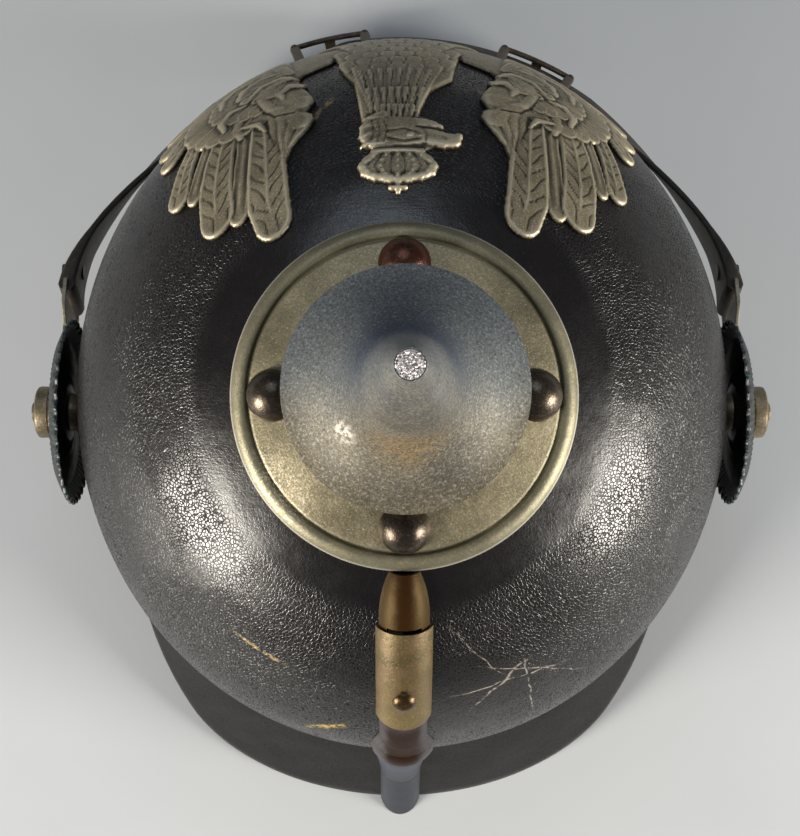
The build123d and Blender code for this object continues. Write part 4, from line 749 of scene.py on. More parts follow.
def visor(name, cone, node, raise_edge):
    """A visor's leather, with both faces rounded off towards its edge."""
    thick = VISOR_THICK
    outer, inner = [], []
    for turn in cone.turns(181):
        edge = cone.edge(turn, raise_edge)
        heights = cone.top + (edge - cone.top) * np.linspace(0, 1, 34) ** 0.9
        length = max(cone.top - edge, 0.01)
        a, b = [], []
        for h in heights:
            near = min(1.0, (h - edge) / min(2.2, length + 1e-6)) if length > 0.2 else 1
            tuck = thick * 0.32 * (1 - near) ** 2
            a.append(cone.at(turn, h, -tuck))
            b.append(cone.at(turn, h, -thick + tuck))
        outer.append(a)
        inner.append(b)
    outer, inner = np.array(outer).transpose(1, 0, 2), np.array(inner).transpose(1, 0, 2)
    for face in (outer, inner):
        face[..., 2] = np.maximum(face[..., 2], TABLE)
    piece(name, *shell(outer, inner), "helmet", VISOR_SKIN, [node], "black_leather", sharp=50)


visor("front_visor_leather", FRONT, "front_visor", 1.6)
visor("neck_guard_leather", REAR, "rear_visor", 0.0)


def edge_line(cone, lift, count):
    """Places along a visor's edge, with the ways up the face and out of it."""
    turns = cone.turns(count, 0.01)
    points = np.array([cone.at(t, cone.edge(t, lift)) for t in turns])
    ahead = unit(np.gradient(points, axis=0))
    normal = unit(np.array([cone.at(t, 10, 1.0) - cone.at(t, 10, 0.0) for t in turns]))
    normal = unit(normal - ahead * np.sum(normal * ahead, 1)[:, None])
    across = np.cross(ahead, normal)
    across *= np.sign(across[:, 2])[:, None]
    return points, across, normal


# A channel folded round the leather's edge: (up the face, out of it)
TRIM_SECTION = [
    (4.4, 0.05), (4.4, 0.42), (4.1, 0.66), (0.8, 0.7), (-0.6, 0.35), (-1.35, -0.55), (-1.35, -1.6),
    (-0.6, -2.5), (0.8, -2.88), (4.1, -2.84), (4.4, -2.6), (4.4, -2.25),
    (0.4, -2.25), (-0.5, -1.7), (-0.5, -0.5), (0.4, 0.05),
]


def trim():
    """The metal channel round the front visor's edge."""
    points, across, normal = edge_line(FRONT, 2.5, 220)
    points, faces = sweep(points, across, normal, TRIM_SECTION)
    points[:, 2] = np.maximum(points[:, 2], TABLE)
    node = "front_visor_trim"
    piece("front_trim", points, faces, "helmet", TRIM_METAL, [node], "grey_metal", sharp=70)


trim()


STITCH_UP, STITCH_LONG, STITCH_THICK = 34.2, 2.6, 0.34


def stitches(name, cone, count):
    """Small bulging stitches of waxed thread along a visor's upper edge."""
    parts = []
    ring = np.linspace(0, 2 * pi, 7, endpoint=False)
    for turn in cone.turns(count, 0.09):
        middle = cone.at(turn, STITCH_UP, 0.02)
        ahead = unit(cone.at(turn + 0.01, STITCH_UP) - cone.at(turn - 0.01, STITCH_UP))
        normal = unit(cone.at(turn, STITCH_UP, 1.0) - cone.at(turn, STITCH_UP))
        side = np.cross(ahead, normal)
        grid = []
        for share in np.linspace(-1, 1, 7):
            size = STITCH_THICK * sqrt(max(0.02, 1 - share**2))
            centre = middle + ahead * share * STITCH_LONG / 2 + side * share * 0.25
            grid.append([centre + side * size * cos(a) + normal * size * sin(a) for a in ring])
        parts.append(tube(grid))
    piece(name, *joined(parts), "helmet", THREAD, slot="strap_leather", sharp=0)


stitches("front_visor_stitches", FRONT, 76)
stitches("neck_guard_stitches", REAR, 78)


# Base plate and spike


BEAD_OUT, BEAD_HALF, GROOVE_OUT = 39.55, 1.95, 37.3


def base_plate():
    """The crown's plate, with a groove and a raised bead near its edge."""
    turn = np.linspace(0, 2 * pi, 300, endpoint=False)
    steps = np.concatenate([np.linspace(HOLE, 35, 30), np.linspace(35.4, PLATE_OUT, 34)])

    def height(out):
        """The plate's thickness at a distance from the spike's axis."""
        bead = max(0.0, 1 - ((out - BEAD_OUT) / BEAD_HALF) ** 2)
        groove = 0.22 * float(np.exp(-(((out - GROOVE_OUT) / 0.35) ** 2)))
        edge = 0.35 * float(smooth((out - 41.35) / 0.4))
        return 0.8 + 1.0 * bead**0.75 - groove - edge

    outer, inner = [], []
    for out in steps:
        x, y = out * np.cos(turn), out * np.sin(turn)
        sag = np.array([noise.noise(Vector((a * 0.05, b * 0.05, 3.1))) for a, b in zip(x, y)]) * 0.12
        up = up_at(x, y)
        outer.append(np.stack([x, y, up + height(out) + sag * float(smooth((37 - out) / 8))], -1))
        inner.append(np.stack([x, y, up + 0.02], -1))
    mesh = shell(np.array(outer), np.array(inner), True)
    piece("crown_plate", *mesh, "helmet", PLATE_METAL, ["base_plate"], "grey_metal", sharp=70, turn=False)


base_plate()


FLARE, FLARE_TILT, FLARE_FOOT = 26, radians(22), 171.8
TIP_OUT, TIP_UP, HOLLOW_UP, SPIKE_THICK = 3.2, 240.4, 231, 1.0


def spike_line(inset, tip_out, tip_up):
    """The spike's profile, in from its outside: the flare's arc and the straight cone touching it."""
    mid_out = SPIKE_FOOT_OUT + FLARE * sin(FLARE_TILT)
    mid_up = FLARE_FOOT + FLARE * cos(FLARE_TILT)
    radius = FLARE + inset
    away = (tip_out - mid_out, tip_up - mid_up)
    touch = atan2(away[1], away[0]) + acos(radius / hypot(*away))
    touch = touch - 2 * pi if touch > pi else touch
    rim = -acos((SPIKE_FOOT_OUT - inset - mid_out) / radius)
    flare = [(mid_out + radius * cos(a), mid_up + radius * sin(a)) for a in np.linspace(rim, touch, 40)]
    out, up = flare[-1]
    return flare + [(out + (tip_out - out) * t, up + (tip_up - up) * t) for t in np.linspace(0, 1, 16)[1:]]


def spike():
    """The hollow trumpet cone with a rolled edge and a rim round its blunt tip."""
    rolls = ((0.7, 0), (0.35, 0.05), (0.08, 0.3), (0, 0.7), (0, 1.3))
    edge = [(SPIKE_FOOT_OUT - inset, SPIKE_FOOT + up) for inset, up in rolls]
    rims = ((0.05, 0.3), (0.2, 0.45), (0.35, 0.4), (0.5, 0.1), (TIP_OUT - 0.02, 0))
    tip = [(TIP_OUT - inset, TIP_UP + up) for inset, up in rims]
    inner = spike_line(SPIKE_THICK, TIP_OUT / 2, HOLLOW_UP)[::-1]
    outline = edge + spike_line(0, TIP_OUT, TIP_UP) + tip
    outline += [(0.02, HOLLOW_UP)] + inner + [(inner[-1][0], SPIKE_FOOT)]
    mesh = lathe(outline, 160)
    piece("spike_cone", *mesh, "spike", SPIKE_METAL, ["spike_shell"], "grey_metal", sharp=45)


spike()


DISC, DISC_UP, DISC_UNDER = 2.75, 240.87, 240.3


def tip_disc():
    """The rough bright end of the tip."""
    grid = []
    for out in np.linspace(0.02, DISC, 12):
        row = []
        for turn in np.linspace(0, 2 * pi, 40, endpoint=False):
            x, y = out * cos(turn), out * sin(turn)
            rough = noise.noise(Vector((x * 1.9, y * 1.9, 0.3))) * 0.07
            rough += noise.noise(Vector((x * 4.1, y * 4.1, 5))) * 0.05
            row.append((x, y, DISC_UP + rough * float(smooth((DISC - out) / 0.5))))
        grid.append(row)
    grid = np.array(grid)
    under = grid.copy()
    under[..., 2] = DISC_UNDER
    p = Paint("tip_metal", Metallic=0.45)
    p.base(p.mix(p.span(p.noise(0.5, 3, 0.7), 0.35, 0.65), (0.1, 0.095, 0.1), (0.75, 0.7, 0.7)))
    p.rough(p.scaled(p.noise(0.6, 2), 0.3, 0.2))
    p.bump((p.cells(0.75, bend=0.5), 0.5), (p.noise(0.25, 2), 0.08))
    mesh = shell(grid, under, True)
    piece("spike_tip_end", *mesh, "spike", p.material, slot="grey_metal", sharp=0, turn=False)


tip_disc()


# Eagle plate


class Relief:
    """Heights over a flat grid of (u, v): u across the eagle, v up its leaning plane, in mm."""

    def __init__(self, low, high, step):
        self.step = step
        self.u, self.v = np.meshgrid(
            np.arange(low[0], high[0], step), np.arange(low[1], high[1], step)
        )
        self.high = np.zeros_like(self.u)
        self.edge = np.full_like(self.u, -9.0)

    def along(self, line, radii):
        """Signed distance inside a stroke, how far along it, its length, and how far aside."""
        best = np.full_like(self.u, -99.0)
        way, aside = np.zeros_like(self.u), np.zeros_like(self.u)
        walked = 0.0
        for (a, b), (radius, far_radius) in zip(zip(line, line[1:]), zip(radii, radii[1:])):
            du, dv = b[0] - a[0], b[1] - a[1]
            length = hypot(du, dv)
            share = ((self.u - a[0]) * du + (self.v - a[1]) * dv) / length**2
            share = np.clip(share, 0, 1)
            off_u, off_v = self.u - a[0] - share * du, self.v - a[1] - share * dv
            inside = radius + (far_radius - radius) * share - np.hypot(off_u, off_v)
            nearer = inside > best
            best = np.where(nearer, inside, best)
            way = np.where(nearer, walked + share * length, way)
            aside = np.where(nearer, (off_v * du - off_u * dv) / length, aside)
            walked += length
        return best, way, walked, aside

    def lay(self, inside, height):
        """Put a form on what is there: the higher one shows."""
        self.high = np.where(inside > 0, np.maximum(self.high, height), self.high)
        self.edge = np.maximum(self.edge, inside)

    def stroke(self, line, radii, level, ramp=0.15, rim=0.2, quill=0.0, barbs=0.0):
        """A feather or roll of metal with a raised rim, a quill and slanting barbs."""
        inside, way, length, aside = self.along(line, radii)
        height = level * smooth(inside / 0.5) + ramp * (way / length - 0.5)
        height = height + rim * np.exp(-(((inside - 0.5) / 0.3) ** 2))
        if quill:
            height = height + quill * np.exp(-((aside / 0.32) ** 2)) * smooth((length - way) / 2)
        if barbs:
            phase = way + 1.15 * np.abs(aside) + 0.5 * np.sin(way * 0.9 + line[0][0]) + 1.3 * (aside > 0)
            phase = (phase / 3.6) % 1.0
            cut = np.exp(-(((phase - 0.5) / 0.1) ** 2)) * smooth((inside - 0.9) / 0.4)
            height = height - barbs * cut * smooth((np.abs(aside) - 0.3) / 0.4)
        self.lay(inside, height)

    def bulge(self, line, radii, level, lift):
        """A roll of metal with a round back."""
        inside, _, _, _ = self.along(line, radii)
        share = np.clip(inside / max(radii), 0, 1)
        self.lay(inside, level * smooth(inside / 0.35) + lift * np.sqrt(1 - (1 - share) ** 2))

    def area(self, corners, level, lift=0.0, width=4.0):
        """A flat form inside a closed outline, domed by lift over a width from its edge."""
        nearest = np.full_like(self.u, 99.0)
        inside = np.zeros(self.u.shape, bool)
        for a, b in zip(corners, corners[1:] + corners[:1]):
            du, dv = b[0] - a[0], b[1] - a[1]
            share = ((self.u - a[0]) * du + (self.v - a[1]) * dv) / (du**2 + dv**2)
            share = np.clip(share, 0, 1)
            off = np.hypot(self.u - a[0] - share * du, self.v - a[1] - share * dv)
            nearest = np.minimum(nearest, off)
            if dv:
                crossing = a[0] + du * (self.v - a[1]) / dv
                inside ^= ((a[1] > self.v) != (b[1] > self.v)) & (self.u < crossing)
        signed = np.where(inside, nearest, -nearest)
        self.lay(signed, level * smooth(signed / 0.5) + lift * smooth(signed / width))

    def groove(self, line, width, depth):
        """A line cut into what is there."""
        inside, _, _, _ = self.along(line, [width] * len(line))
        share = np.clip(1 - inside / width, 0, 3)
        self.high -= depth * np.exp(-((share / 0.75) ** 2)) * (self.edge > 0)

    def blurred(self, passes):
        """The heights, averaged with their neighbours several times."""
        soft = self.high
        for _ in range(passes):
            soft = (soft + sum(np.roll(soft, step, axis) for axis in (0, 1) for step in (1, -1))) / 5
        return soft


# Feathers of one wing from the inside outwards: (middle line, half widths, level, barbs)
PRIMARIES = [
    ([(38.5, 52), (37.8, 64), (38.6, 81.2)], [2.2, 2.4, 2.5], 0.3, 0),
    ([(47.0, 50), (49.0, 60), (51.2, 70.2)], [2.0, 2.3, 2.4], 0.3, 0),
    ([(33.5, 50), (32.6, 63), (31.9, 73), (31.3, 80.5), (30.0, 85.0)], [2.8, 4.1, 4.9, 5.2, 4.7], 0.66, 0.24),
    ([(42.5, 50), (44.4, 63), (45.0, 73), (44.2, 79.4)], [2.8, 4.2, 4.7, 4.7], 0.6, 0.24),
    ([(51.5, 46), (54.8, 58), (56.2, 67.6)], [2.4, 3.0, 3.4], 0.55, 0.26),
    ([(50, 34), (57, 42), (61.2, 48.4)], [2.4, 2.9, 2.8], 0.5, 0.22),
    ([(48, 31), (57, 35), (62.6, 39.2)], [2.4, 3.0, 3.0], 0.42, 0.22),
    ([(44, 27), (55, 29.6), (61.4, 29.2)], [2.4, 3.1, 3.1], 0.5, 0.22),
    ([(40, 24), (50, 22.6), (57.2, 19.2)], [2.4, 3.2, 3.2], 0.42, 0.22),
    ([(35, 22), (44, 17), (50.6, 10.4)], [2.4, 3.3, 3.3], 0.5, 0.22),
    ([(30, 22), (37.5, 13.5), (42.4, 5.6)], [2.4, 3.1, 3.1], 0.42, 0.22),
]
INNER_LOBE = [
    (26.3, 36.5), (23.3, 45.7), (21.2, 50.2), (20.6, 52.8), (21.8, 55.6), (22.4, 56.8), (21.0, 58.2),
    (20.4, 60.4), (21.6, 63.0), (23.8, 65.4), (26.0, 68.2), (26.9, 71.0), (27.6, 73.4), (28.8, 70.0),
    (31.4, 64.0), (34.5, 58.0), (36.0, 48.0), (34.0, 40.0),
]
SHOULDER_EDGE = [
    (12, 21), (17, 33), (24, 37), (28, 45), (33, 54), (40, 56), (48, 53), (53.5, 46), (54, 38),
    (51, 31), (45, 25), (37, 21.5), (30, 20.5), (21, 20),
]
BODY = [
    (0, -2.9), (7.5, 0.6), (13.6, 14.4), (16.3, 30.5), (13.6, 42.3), (11.1, 47.5), (10.2, 53.5),
    (9.0, 62.4), (8.7, 68.5), (7.9, 70.8), (-5.8, 71.9), (-10.1, 69.8), (-12.0, 66.4), (-9.6, 62.8),
    (-4.3, 60.9), (-3.5, 59.4), (-5.5, 55.3), (-9.4, 50.4), (-13.9, 45.9), (-16.3, 30.5),
    (-13.6, 14.4), (-7.5, 0.6),
]
CROWN_OUTLINE = [
    (5.6, 71.2), (8.2, 73.2), (10.0, 76.0), (9.0, 78.6), (5.6, 80.3), (1.2, 80.4), (-1.2, 80.4),
    (-5.6, 80.3), (-9.0, 78.6), (-10.0, 76.0), (-8.2, 73.2), (-5.6, 71.2),
]


def wing(relief, side):
    """One wing: primaries, three rows of coverts, the inner lobe and the curled shoulder."""

    def turned(line):
        """The line on this wing's side."""
        return [(side * u, v) for u, v in line]

    for line, radii, level, barbs in PRIMARIES:
        relief.stroke(turned(line), radii, level, rim=0.28, quill=0.22, barbs=barbs)
    relief.area(turned(SHOULDER_EDGE), 0.45, 0.3, 6)
    middle = vec(27, 35)
    rim = [vec(*corner) for corner in SHOULDER_EDGE[4:13]]
    for row, (size, long, wide) in enumerate(((1.0, 9, 3.3), (0.74, 8, 2.6), (0.48, 7, 2.0))):
        for a, b in zip(rim, rim[1:]):
            for share in (0.25, 0.75) if row < 2 else (0.5,):
                tip = middle + (a + (b - a) * share - middle) * size
                root = tip - unit(tip - middle) * long
                ends = turned([tuple(root), tuple(tip)])
                level = 0.62 + 0.2 * row
                relief.stroke(ends, [wide * 0.6, wide], level, ramp=0.5, rim=0.24, quill=0.16)
    relief.area(turned(INNER_LOBE), 0.62, 0.45, 5)
    for line in (
        [(27.4, 71.6), (26.6, 67.0), (25.0, 62.8), (24.6, 58.8)],
        [(27.8, 70.6), (28.0, 65.0), (27.2, 60.4), (27.6, 56.6)],
        [(28.6, 69.2), (29.8, 64.0), (29.8, 59.4), (30.6, 55.8)],
        [(30.2, 66.0), (32.0, 61.0), (32.6, 56.0)],
    ):
        relief.groove(turned(line), 0.55, 0.22)
    relief.bulge(turned([(24.0, 52.6), (27.5, 50.6)]), [3.1, 2.0], 0.7, 0.55)
    relief.bulge(turned([(24.2, 60.2), (26.2, 57.6)]), [3.3, 2.2], 0.7, 0.5)
    relief.bulge(
        turned([(28.0, 38.0), (33.6, 40.6), (34.2, 46.6), (31.6, 51.8), (28.6, 53.2)]),
        [1.6, 2.0, 2.0, 1.7, 1.2], 0.85, 0.5,
    )
    line = turned([(35.4, 47.6), (39.4, 50.2), (40.2, 54.8), (39.0, 59.0)])
    relief.bulge(line, [1.5, 1.5, 1.4, 1.0], 0.8, 0.3)
    relief.groove(turned([(25.6, 56.6), (30.6, 55.6), (33.8, 51.0), (36.2, 44.0)]), 0.5, 0.35)
    for line, radii in (
        ([(23.6, 44.6), (27.2, 43.2), (29.6, 46.0), (28.4, 49.0)], [0.7, 1.5, 1.4, 0.7]),
        ([(25.6, 39.8), (29.6, 36.6), (34.6, 37.6), (37.6, 42.0)], [0.6, 1.3, 1.5, 0.8]),
        ([(30.4, 31.6), (35.6, 31.0), (39.6, 34.6), (40.6, 39.6)], [0.6, 1.4, 1.5, 0.8]),
        ([(37.4, 28.4), (42.6, 29.4), (45.6, 34.0), (45.4, 39.4)], [0.6, 1.3, 1.5, 0.8]),
        ([(38.4, 44.6), (42.4, 44.6), (44.6, 48.4), (43.4, 53.0)], [0.6, 1.3, 1.4, 0.8]),
        ([(32.6, 60.4), (34.6, 56.6), (38.6, 55.4)], [0.5, 1.1, 0.6]),
    ):
        relief.bulge(turned(line), radii, 1.05, 0.45)


def body(relief):
    """Breast, neck, head, tail and legs."""
    for u, foot, tip, wide in ((16.3, 5.4, -14.9, 3.3), (8.8, 2.7, -20.2, 3.6), (0.0, 0.0, -22.0, 4.0)):
        for side in (1, -1) if u else (1,):
            bend = (side * (foot + (u - foot) * 0.6), 4.0 + (tip - 4.0) * 0.55)
            line = [(side * foot, 4.0), bend, (side * u, tip + wide)]
            level = 0.4 + 0.012 * (20 - u)
            relief.stroke(line, [wide * 0.55, wide * 0.85, wide], level, quill=0.14, barbs=0.1)
    for side in (1, -1):
        for toe in ((33.0, -3.6), (28.6, -11.2), (21.2, -10.6)):
            knuckle = (23.6 + (toe[0] - 23.6) * 0.5, -0.8 + (toe[1] + 0.8) * 0.42)
            line = [(side * u, v) for u, v in ((23.6, -0.8), knuckle, toe)]
            relief.bulge(line, [1.9, 1.6, 0.6], 0.3, 0.6)
        relief.bulge([(side * 11, 16), (side * 18, 7), (side * 24, -0.6)], [4.2, 3.4, 2.0], 0.3, 0.7)
        for share in (0.2, 0.45, 0.7):
            u, v = vec(11, 16) + (vec(24, -0.6) - vec(11, 16)) * share
            line = [(side * (u - 2.4), v - 2.2), (side * (u + 0.4), v - 2.6), (side * (u + 2.6), v + 0.4)]
            relief.groove(line, 0.4, 0.25)
    relief.area(BODY, 0.55, 0.55, 7)
    for row in range(11):
        v = 0.5 + 4.1 * row
        half = float(np.interp(v, (0, 14, 30, 42), (6.5, 12.0, 14.6, 11.8)))
        count = max(2, int(2 * half / 4.2))
        for index in range(count + row % 2):
            u = -half + (index + 0.5 * (row % 2 == 0)) * 2 * half / count
            level = 0.72 + 0.5 * (1 - (u / 16) ** 2)
            relief.stroke([(u * 0.96, v + 4.2), (u, v)], [1.2, 2.3], level, ramp=0.3, rim=0.12, quill=0.06)
    # the neck's long ridges, with shorter tufts between them
    for index in range(9):
        share = (index + 0.5) / 4.5 - 1
        wave = 0.5 * sin(2.3 * index)
        line = [(1.0 + share * 5.6, 66.5), (0.9 + share * 6.6 + wave, 59)]
        line += [(0.6 + share * 9.4, 50), (share * 12.6, 39)]
        relief.stroke(line, [0.55, 0.75, 1.05, 1.3], 1.15 - 0.35 * share**2, ramp=0.2, rim=0.14)
    for row, (top, bottom, count) in enumerate(((52, 43, 8), (60, 52, 8), (65, 58.5, 7))):
        for index in range(count):
            share = (index + 1) / (count + 1) * 2 - 1
            wide = float(np.interp(bottom, (43, 52, 58), (11.4, 8.6, 6.0)))
            line = [(0.9 + share * wide * 0.8, top), (0.7 + share * wide, bottom)]
            relief.stroke(line, [0.5, 0.95], 1.3 - 0.4 * share**2, ramp=0.3, rim=0.12)
    # head: dome, brow, eye, beak and the tufts of the nape
    relief.bulge([(4.5, 66.4), (-4.0, 66.4)], [5.0, 4.2], 1.05, 0.45)
    for tuft in ((8.9, 70.2), (9.3, 67.6), (9.1, 65.0), (8.4, 62.6)):
        relief.stroke([(3.6, tuft[1] - 1.2), tuft], [1.5, 0.45], 1.55, ramp=0.1, rim=0.1)
    relief.bulge([(-6.2, 67.4), (-10.6, 68.4), (-13.6, 68.2), (-15.0, 66.8)], [2.7, 2.3, 1.9, 0.9], 0.95, 0.6)
    relief.bulge([(-4.0, 63.6), (-8.0, 63.9), (-10.6, 64.6)], [1.5, 1.2, 0.7], 0.9, 0.35)
    relief.groove([(-14.0, 65.8), (-9.0, 65.6), (-4.6, 65.2)], 0.45, 0.5)
    relief.groove([(-6.6, 70.0), (-7.0, 67.6), (-6.0, 65.6)], 0.4, 0.22)
    relief.groove([(2.6, 68.4), (-1.6, 69.4), (-5.4, 68.6)], 0.45, 0.32)
    relief.groove([(2.6, 66.6), (-1.6, 66.0), (-5.4, 67.2)], 0.4, 0.26)
    relief.bulge([(-2.9, 67.7), (-3.3, 67.7)], [0.95, 0.95], 1.45, 0.35)
    relief.groove([(-11.6, 68.4), (-11.0, 68.0)], 0.4, 0.25)
    for shift in (0.0, 1.6, 3.2):
        relief.groove([(3.4 + shift, 69.6), (2.6 + shift, 66.4), (3.2 + shift, 63.4)], 0.35, 0.2)


def crown(relief):
    """The eagle's crown: a band, five beaded arches over a fluted cap and a small cross."""
    relief.area(CROWN_OUTLINE, 0.85, 0.35, 3)
    for index in range(9):
        share = index / 4 - 1
        relief.groove([(share * 5.0, 73.4), (share * 7.6, 76.6), (share * 5.2, 79.6)], 0.4, 0.16)
    for index in (-2, 2, -1, 1, 0):
        line = [(index * 2.5, 72.8), (index * 4.3, 75.8), (index * 3.4, 78.6), (index * 0.9, 80.0)]
        if not index:
            line = [(0, 72.8), (0, 76.0), (0, 80.2)]
        relief.bulge(line, [0.95] * len(line), 1.0, 0.3)
        for a, b in zip(line, line[1:]):
            for share in (0.2, 0.7):
                u, v = a[0] + (b[0] - a[0]) * share, a[1] + (b[1] - a[1]) * share
                relief.bulge([(u, v), (u + 0.1, v)], [0.55, 0.55], 1.3, 0.3)
    relief.bulge([(-5.8, 72.2), (0, 71.9), (5.8, 72.2)], [0.95] * 3, 1.2, 0.3)
    relief.bulge([(0, 80.2), (0, 82.9)], [0.75, 0.6], 0.8, 0.3)
    relief.bulge([(-1.7, 81.9), (1.7, 81.9)], [0.6, 0.6], 0.8, 0.3)


EAGLE_LEAN = radians(38)
EAGLE_SHIFT = 1.5
EAGLE_STEP = 0.4


def eagle():
    """The relief bent on to the skull, as a closed sheet with its back a little off the leather."""
    relief = Relief((-68, -26), (68, 93), EAGLE_STEP)
    for side in (1, -1):
        wing(relief, side)
    body(relief)
    crown(relief)
    edge = relief.edge
    centre = (edge[1:, 1:] + edge[:-1, 1:] + edge[1:, :-1] + edge[:-1, :-1]) / 4
    keep = centre > 0
    # the outline's own points are drawn to where the forms end
    rim_dv, rim_du = np.gradient(edge, relief.step)
    slope = np.maximum(rim_du**2 + rim_dv**2, 0.3)
    near = np.clip(edge, -relief.step, relief.step) * (edge < 0.75 * relief.step)
    around = np.zeros(edge.shape)
    for rows in (slice(0, -1), slice(1, None)):
        for cols in (slice(0, -1), slice(1, None)):
            around[rows, cols] += keep
    near = np.where((around > 0) & (around < 4), near, 0)
    u, v = relief.u - near * rim_du / slope, relief.v - near * rim_dv / slope
    # the wings and the crown sit a little lower than the flat drawing
    wings = smooth((np.abs(u) - 16) / 6)
    v = v - 1.5 * smooth((v - 45) / 20) * wings - 1.1 * smooth((v - 68) / 12) * (1 - wings)
    x = u * (1 - 0.04 * smooth((np.abs(u) - 40) / 25)) + EAGLE_SHIFT
    low, high = np.full(x.shape, 40.0), np.full(x.shape, 170.0)
    for _ in range(32):
        depth = (low + high) / 2
        y = v * sin(EAGLE_LEAN) - depth * cos(EAGLE_LEAN)
        z = v * cos(EAGLE_LEAN) + depth * sin(EAGLE_LEAN)
        outside = np.hypot(x / OVAL, y + FORWARD) > out_at(z)
        low, high = np.where(outside, low, depth), np.where(outside, depth, high)
    points = np.stack([x, y, z], -1)
    normal = outward(points)
    thick = 0.45 + 0.35 * smooth(edge / 0.6) + np.clip(relief.high, 0, 2.2) * 0.62
    outer = points + normal * thick[..., None]
    inner = points + normal * 0.04
    grid, faces = shell(outer, inner, keep=keep)
    used, places = np.unique(np.concatenate([np.array(f) for f in faces]), return_inverse=True)
    turned, count = [], 0
    for face in faces:
        turned.append(tuple(places[count : count + len(face)].tolist()))
        count += len(face)
    node = "front_plate"
    made = piece("eagle_relief", grid[used], turned, "helmet", EAGLE_METAL, [node], "grey_metal", sharp=0)
    raised = np.clip(0.5 + (relief.high - relief.blurred(14)) * 1.6, 0, 1).reshape(-1)
    raised = np.concatenate([raised, np.full(raised.shape, 0.3)])[used]
    layer = made.attributes.new("raised", "FLOAT", "POINT")
    layer.data.foreach_set("value", raised.astype(np.float32))


eagle()


# Posts and cockades


# Places out from the middle: the skull's side, the cockade's back, the strap's eye and the knob
SKULL_SIDE = OVAL * sqrt(out_at(POST_UP) ** 2 - FORWARD**2)
COCKADE = SKULL_SIDE + 4.4
LUG = COCKADE + 1.5 + 0.9 + 0.3
KNOB = LUG + 1.1 + 0.3


TEETH = 40


def cockade(side, word, ring):
    """A dished disc pressed with radial flutes, with a toothed edge."""
    turn = np.linspace(0, 2 * pi, 8 * TEETH, endpoint=False)
    parts = ((3.25, 13.3, 12), (13.6, 21.3, 12), (21.6, 26.6, 14))
    steps = np.concatenate([np.linspace(*part) for part in parts])
    outer, inner = [], []
    for out in steps:
        rise = np.interp(out, (5.5, 13.3, 21.3, 26.6), (0, 1.5, 1.5, -1.0))
        flute = 0.16 * np.cos(turn * 2 * TEETH) * float(smooth((out - 6) / 4) * smooth((27.2 - out) / 2))
        lip = 0.12 * float(np.exp(-(((out - 13.3) / 0.5) ** 2)) + np.exp(-(((out - 20.2) / 0.5) ** 2)))
        tooth = (1 - (0.5 + 0.5 * np.cos(turn * TEETH)) ** 0.8) * 1.25 * float(smooth((out - 24.2) / 2.4))
        far = out - tooth
        across, up = far * np.cos(turn), POST_UP + far * np.sin(turn)
        outer.append(np.stack([side * (COCKADE + 0.74 + rise + flute * 0.8 + lip), across, up], -1))
        inner.append(np.stack([side * (COCKADE + 0.02 + rise + flute * 0.8 * (out > 8)), across, up], -1))
    mesh = shell(np.array(outer), np.array(inner), True)
    paint = cockade_paint(f"cockade_{word}_enamel", side, ring)
    node = f"cockade_{word}"
    piece(f"cockade_disc_{word}", *mesh, "helmet", paint, [node], "cockade_paint", sharp=60)


cockade(1, "left", [(0.5, 0.5, 0.46)])
cockade(-1, "right", [(0.5, 0.5, 0.46), (0.1, 0.014, 0.012)])


# A post's turned profile: (radius, how far out past the place that the row starts from)
POST_PROFILE = (
    (SKULL_SIDE, (8.4, -1.2), (8.5, 1.3), (8.3, 1.55), (5.9, 1.65), (5.5, 2.0)),
    (COCKADE, (5.3, -0.9), (5.5, -0.05), (3.2, 0)),
    (KNOB, (3.2, 0), (7.0, 0.02), (7.35, 0.3), (7.4, 0.9), (7.05, 1.25), (7.0, 1.6), (7.35, 1.9)),
    (KNOB, (7.4, 4.4), (7.2, 5.1), (6.6, 5.5), (3.4, 5.6), (3.0, 5.75), (2.95, 6.6), (2.6, 7.0), (0.02, 7.1)),
    (SKULL_SIDE, (0.02, -5.0), (2.5, -5.0), (2.5, -1.2)),
)


def post(side, word):
    """A turned side post with its foot, neck and knob."""
    outline = [(out, row[0] + past) for row in POST_PROFILE for out, past in row[1:]]
    place = (vec(0, 0, POST_UP), vec(0, 1, 0), vec(0, 0, side), vec(side, 0, 0))
    mesh, node = lathe(outline, 72, place), f"side_post_{word}"
    piece(f"post_{word}", *mesh, "helmet", BRASS, [node], "brass_metal", sharp=35)


post(1, "left")
post(-1, "right")


# Chin strap


DROP = atan2(POST_UP - BAND_UP, FRONT.out(BAND_UP) + FORWARD)
BAND = 94.7738
BAND_Y = BAND - FRONT.out(BAND_UP) - FORWARD
LEAN_OUT, LEAN_UP = FRONT.out_normal, FRONT.up_normal
STRAP_THICK, STRAP_HALF = 1.9, 8.25
BAR, CLEAR = 1.2, 0.35
GAP = 0.7 + CLEAR
INNER = GAP + BAR + CLEAR
OUTER = INNER + STRAP_THICK + 0.3
LUG_LONG, LUG_THICK, END_BAR = 39, 1.1, 2.4
FREE_END = radians(36)
PULL = 66
FOLD_LONG, FOLD_EXTRA = 22, 3.3


def strap_start(side):
    """Where the strap folds round its lug's bar, with the ways along and across the strap."""
    reach = LUG_LONG - END_BAR / 2
    return (
        vec(side * (LUG + LUG_THICK / 2), -reach * cos(DROP), POST_UP - reach * sin(DROP)),
        vec(0, -cos(DROP), -sin(DROP)),
        vec(0, -sin(DROP), cos(DROP)),
    )


def band_at(angle, deep, along=0.0):
    """A point of the strap's band: an angle from straight ahead, off the visor and along the width."""
    out = BAND + LEAN_OUT * deep - LEAN_UP * along
    return vec(out * sin(angle), BAND_Y - out * cos(angle), BAND_UP + LEAN_UP * deep + LEAN_OUT * along)


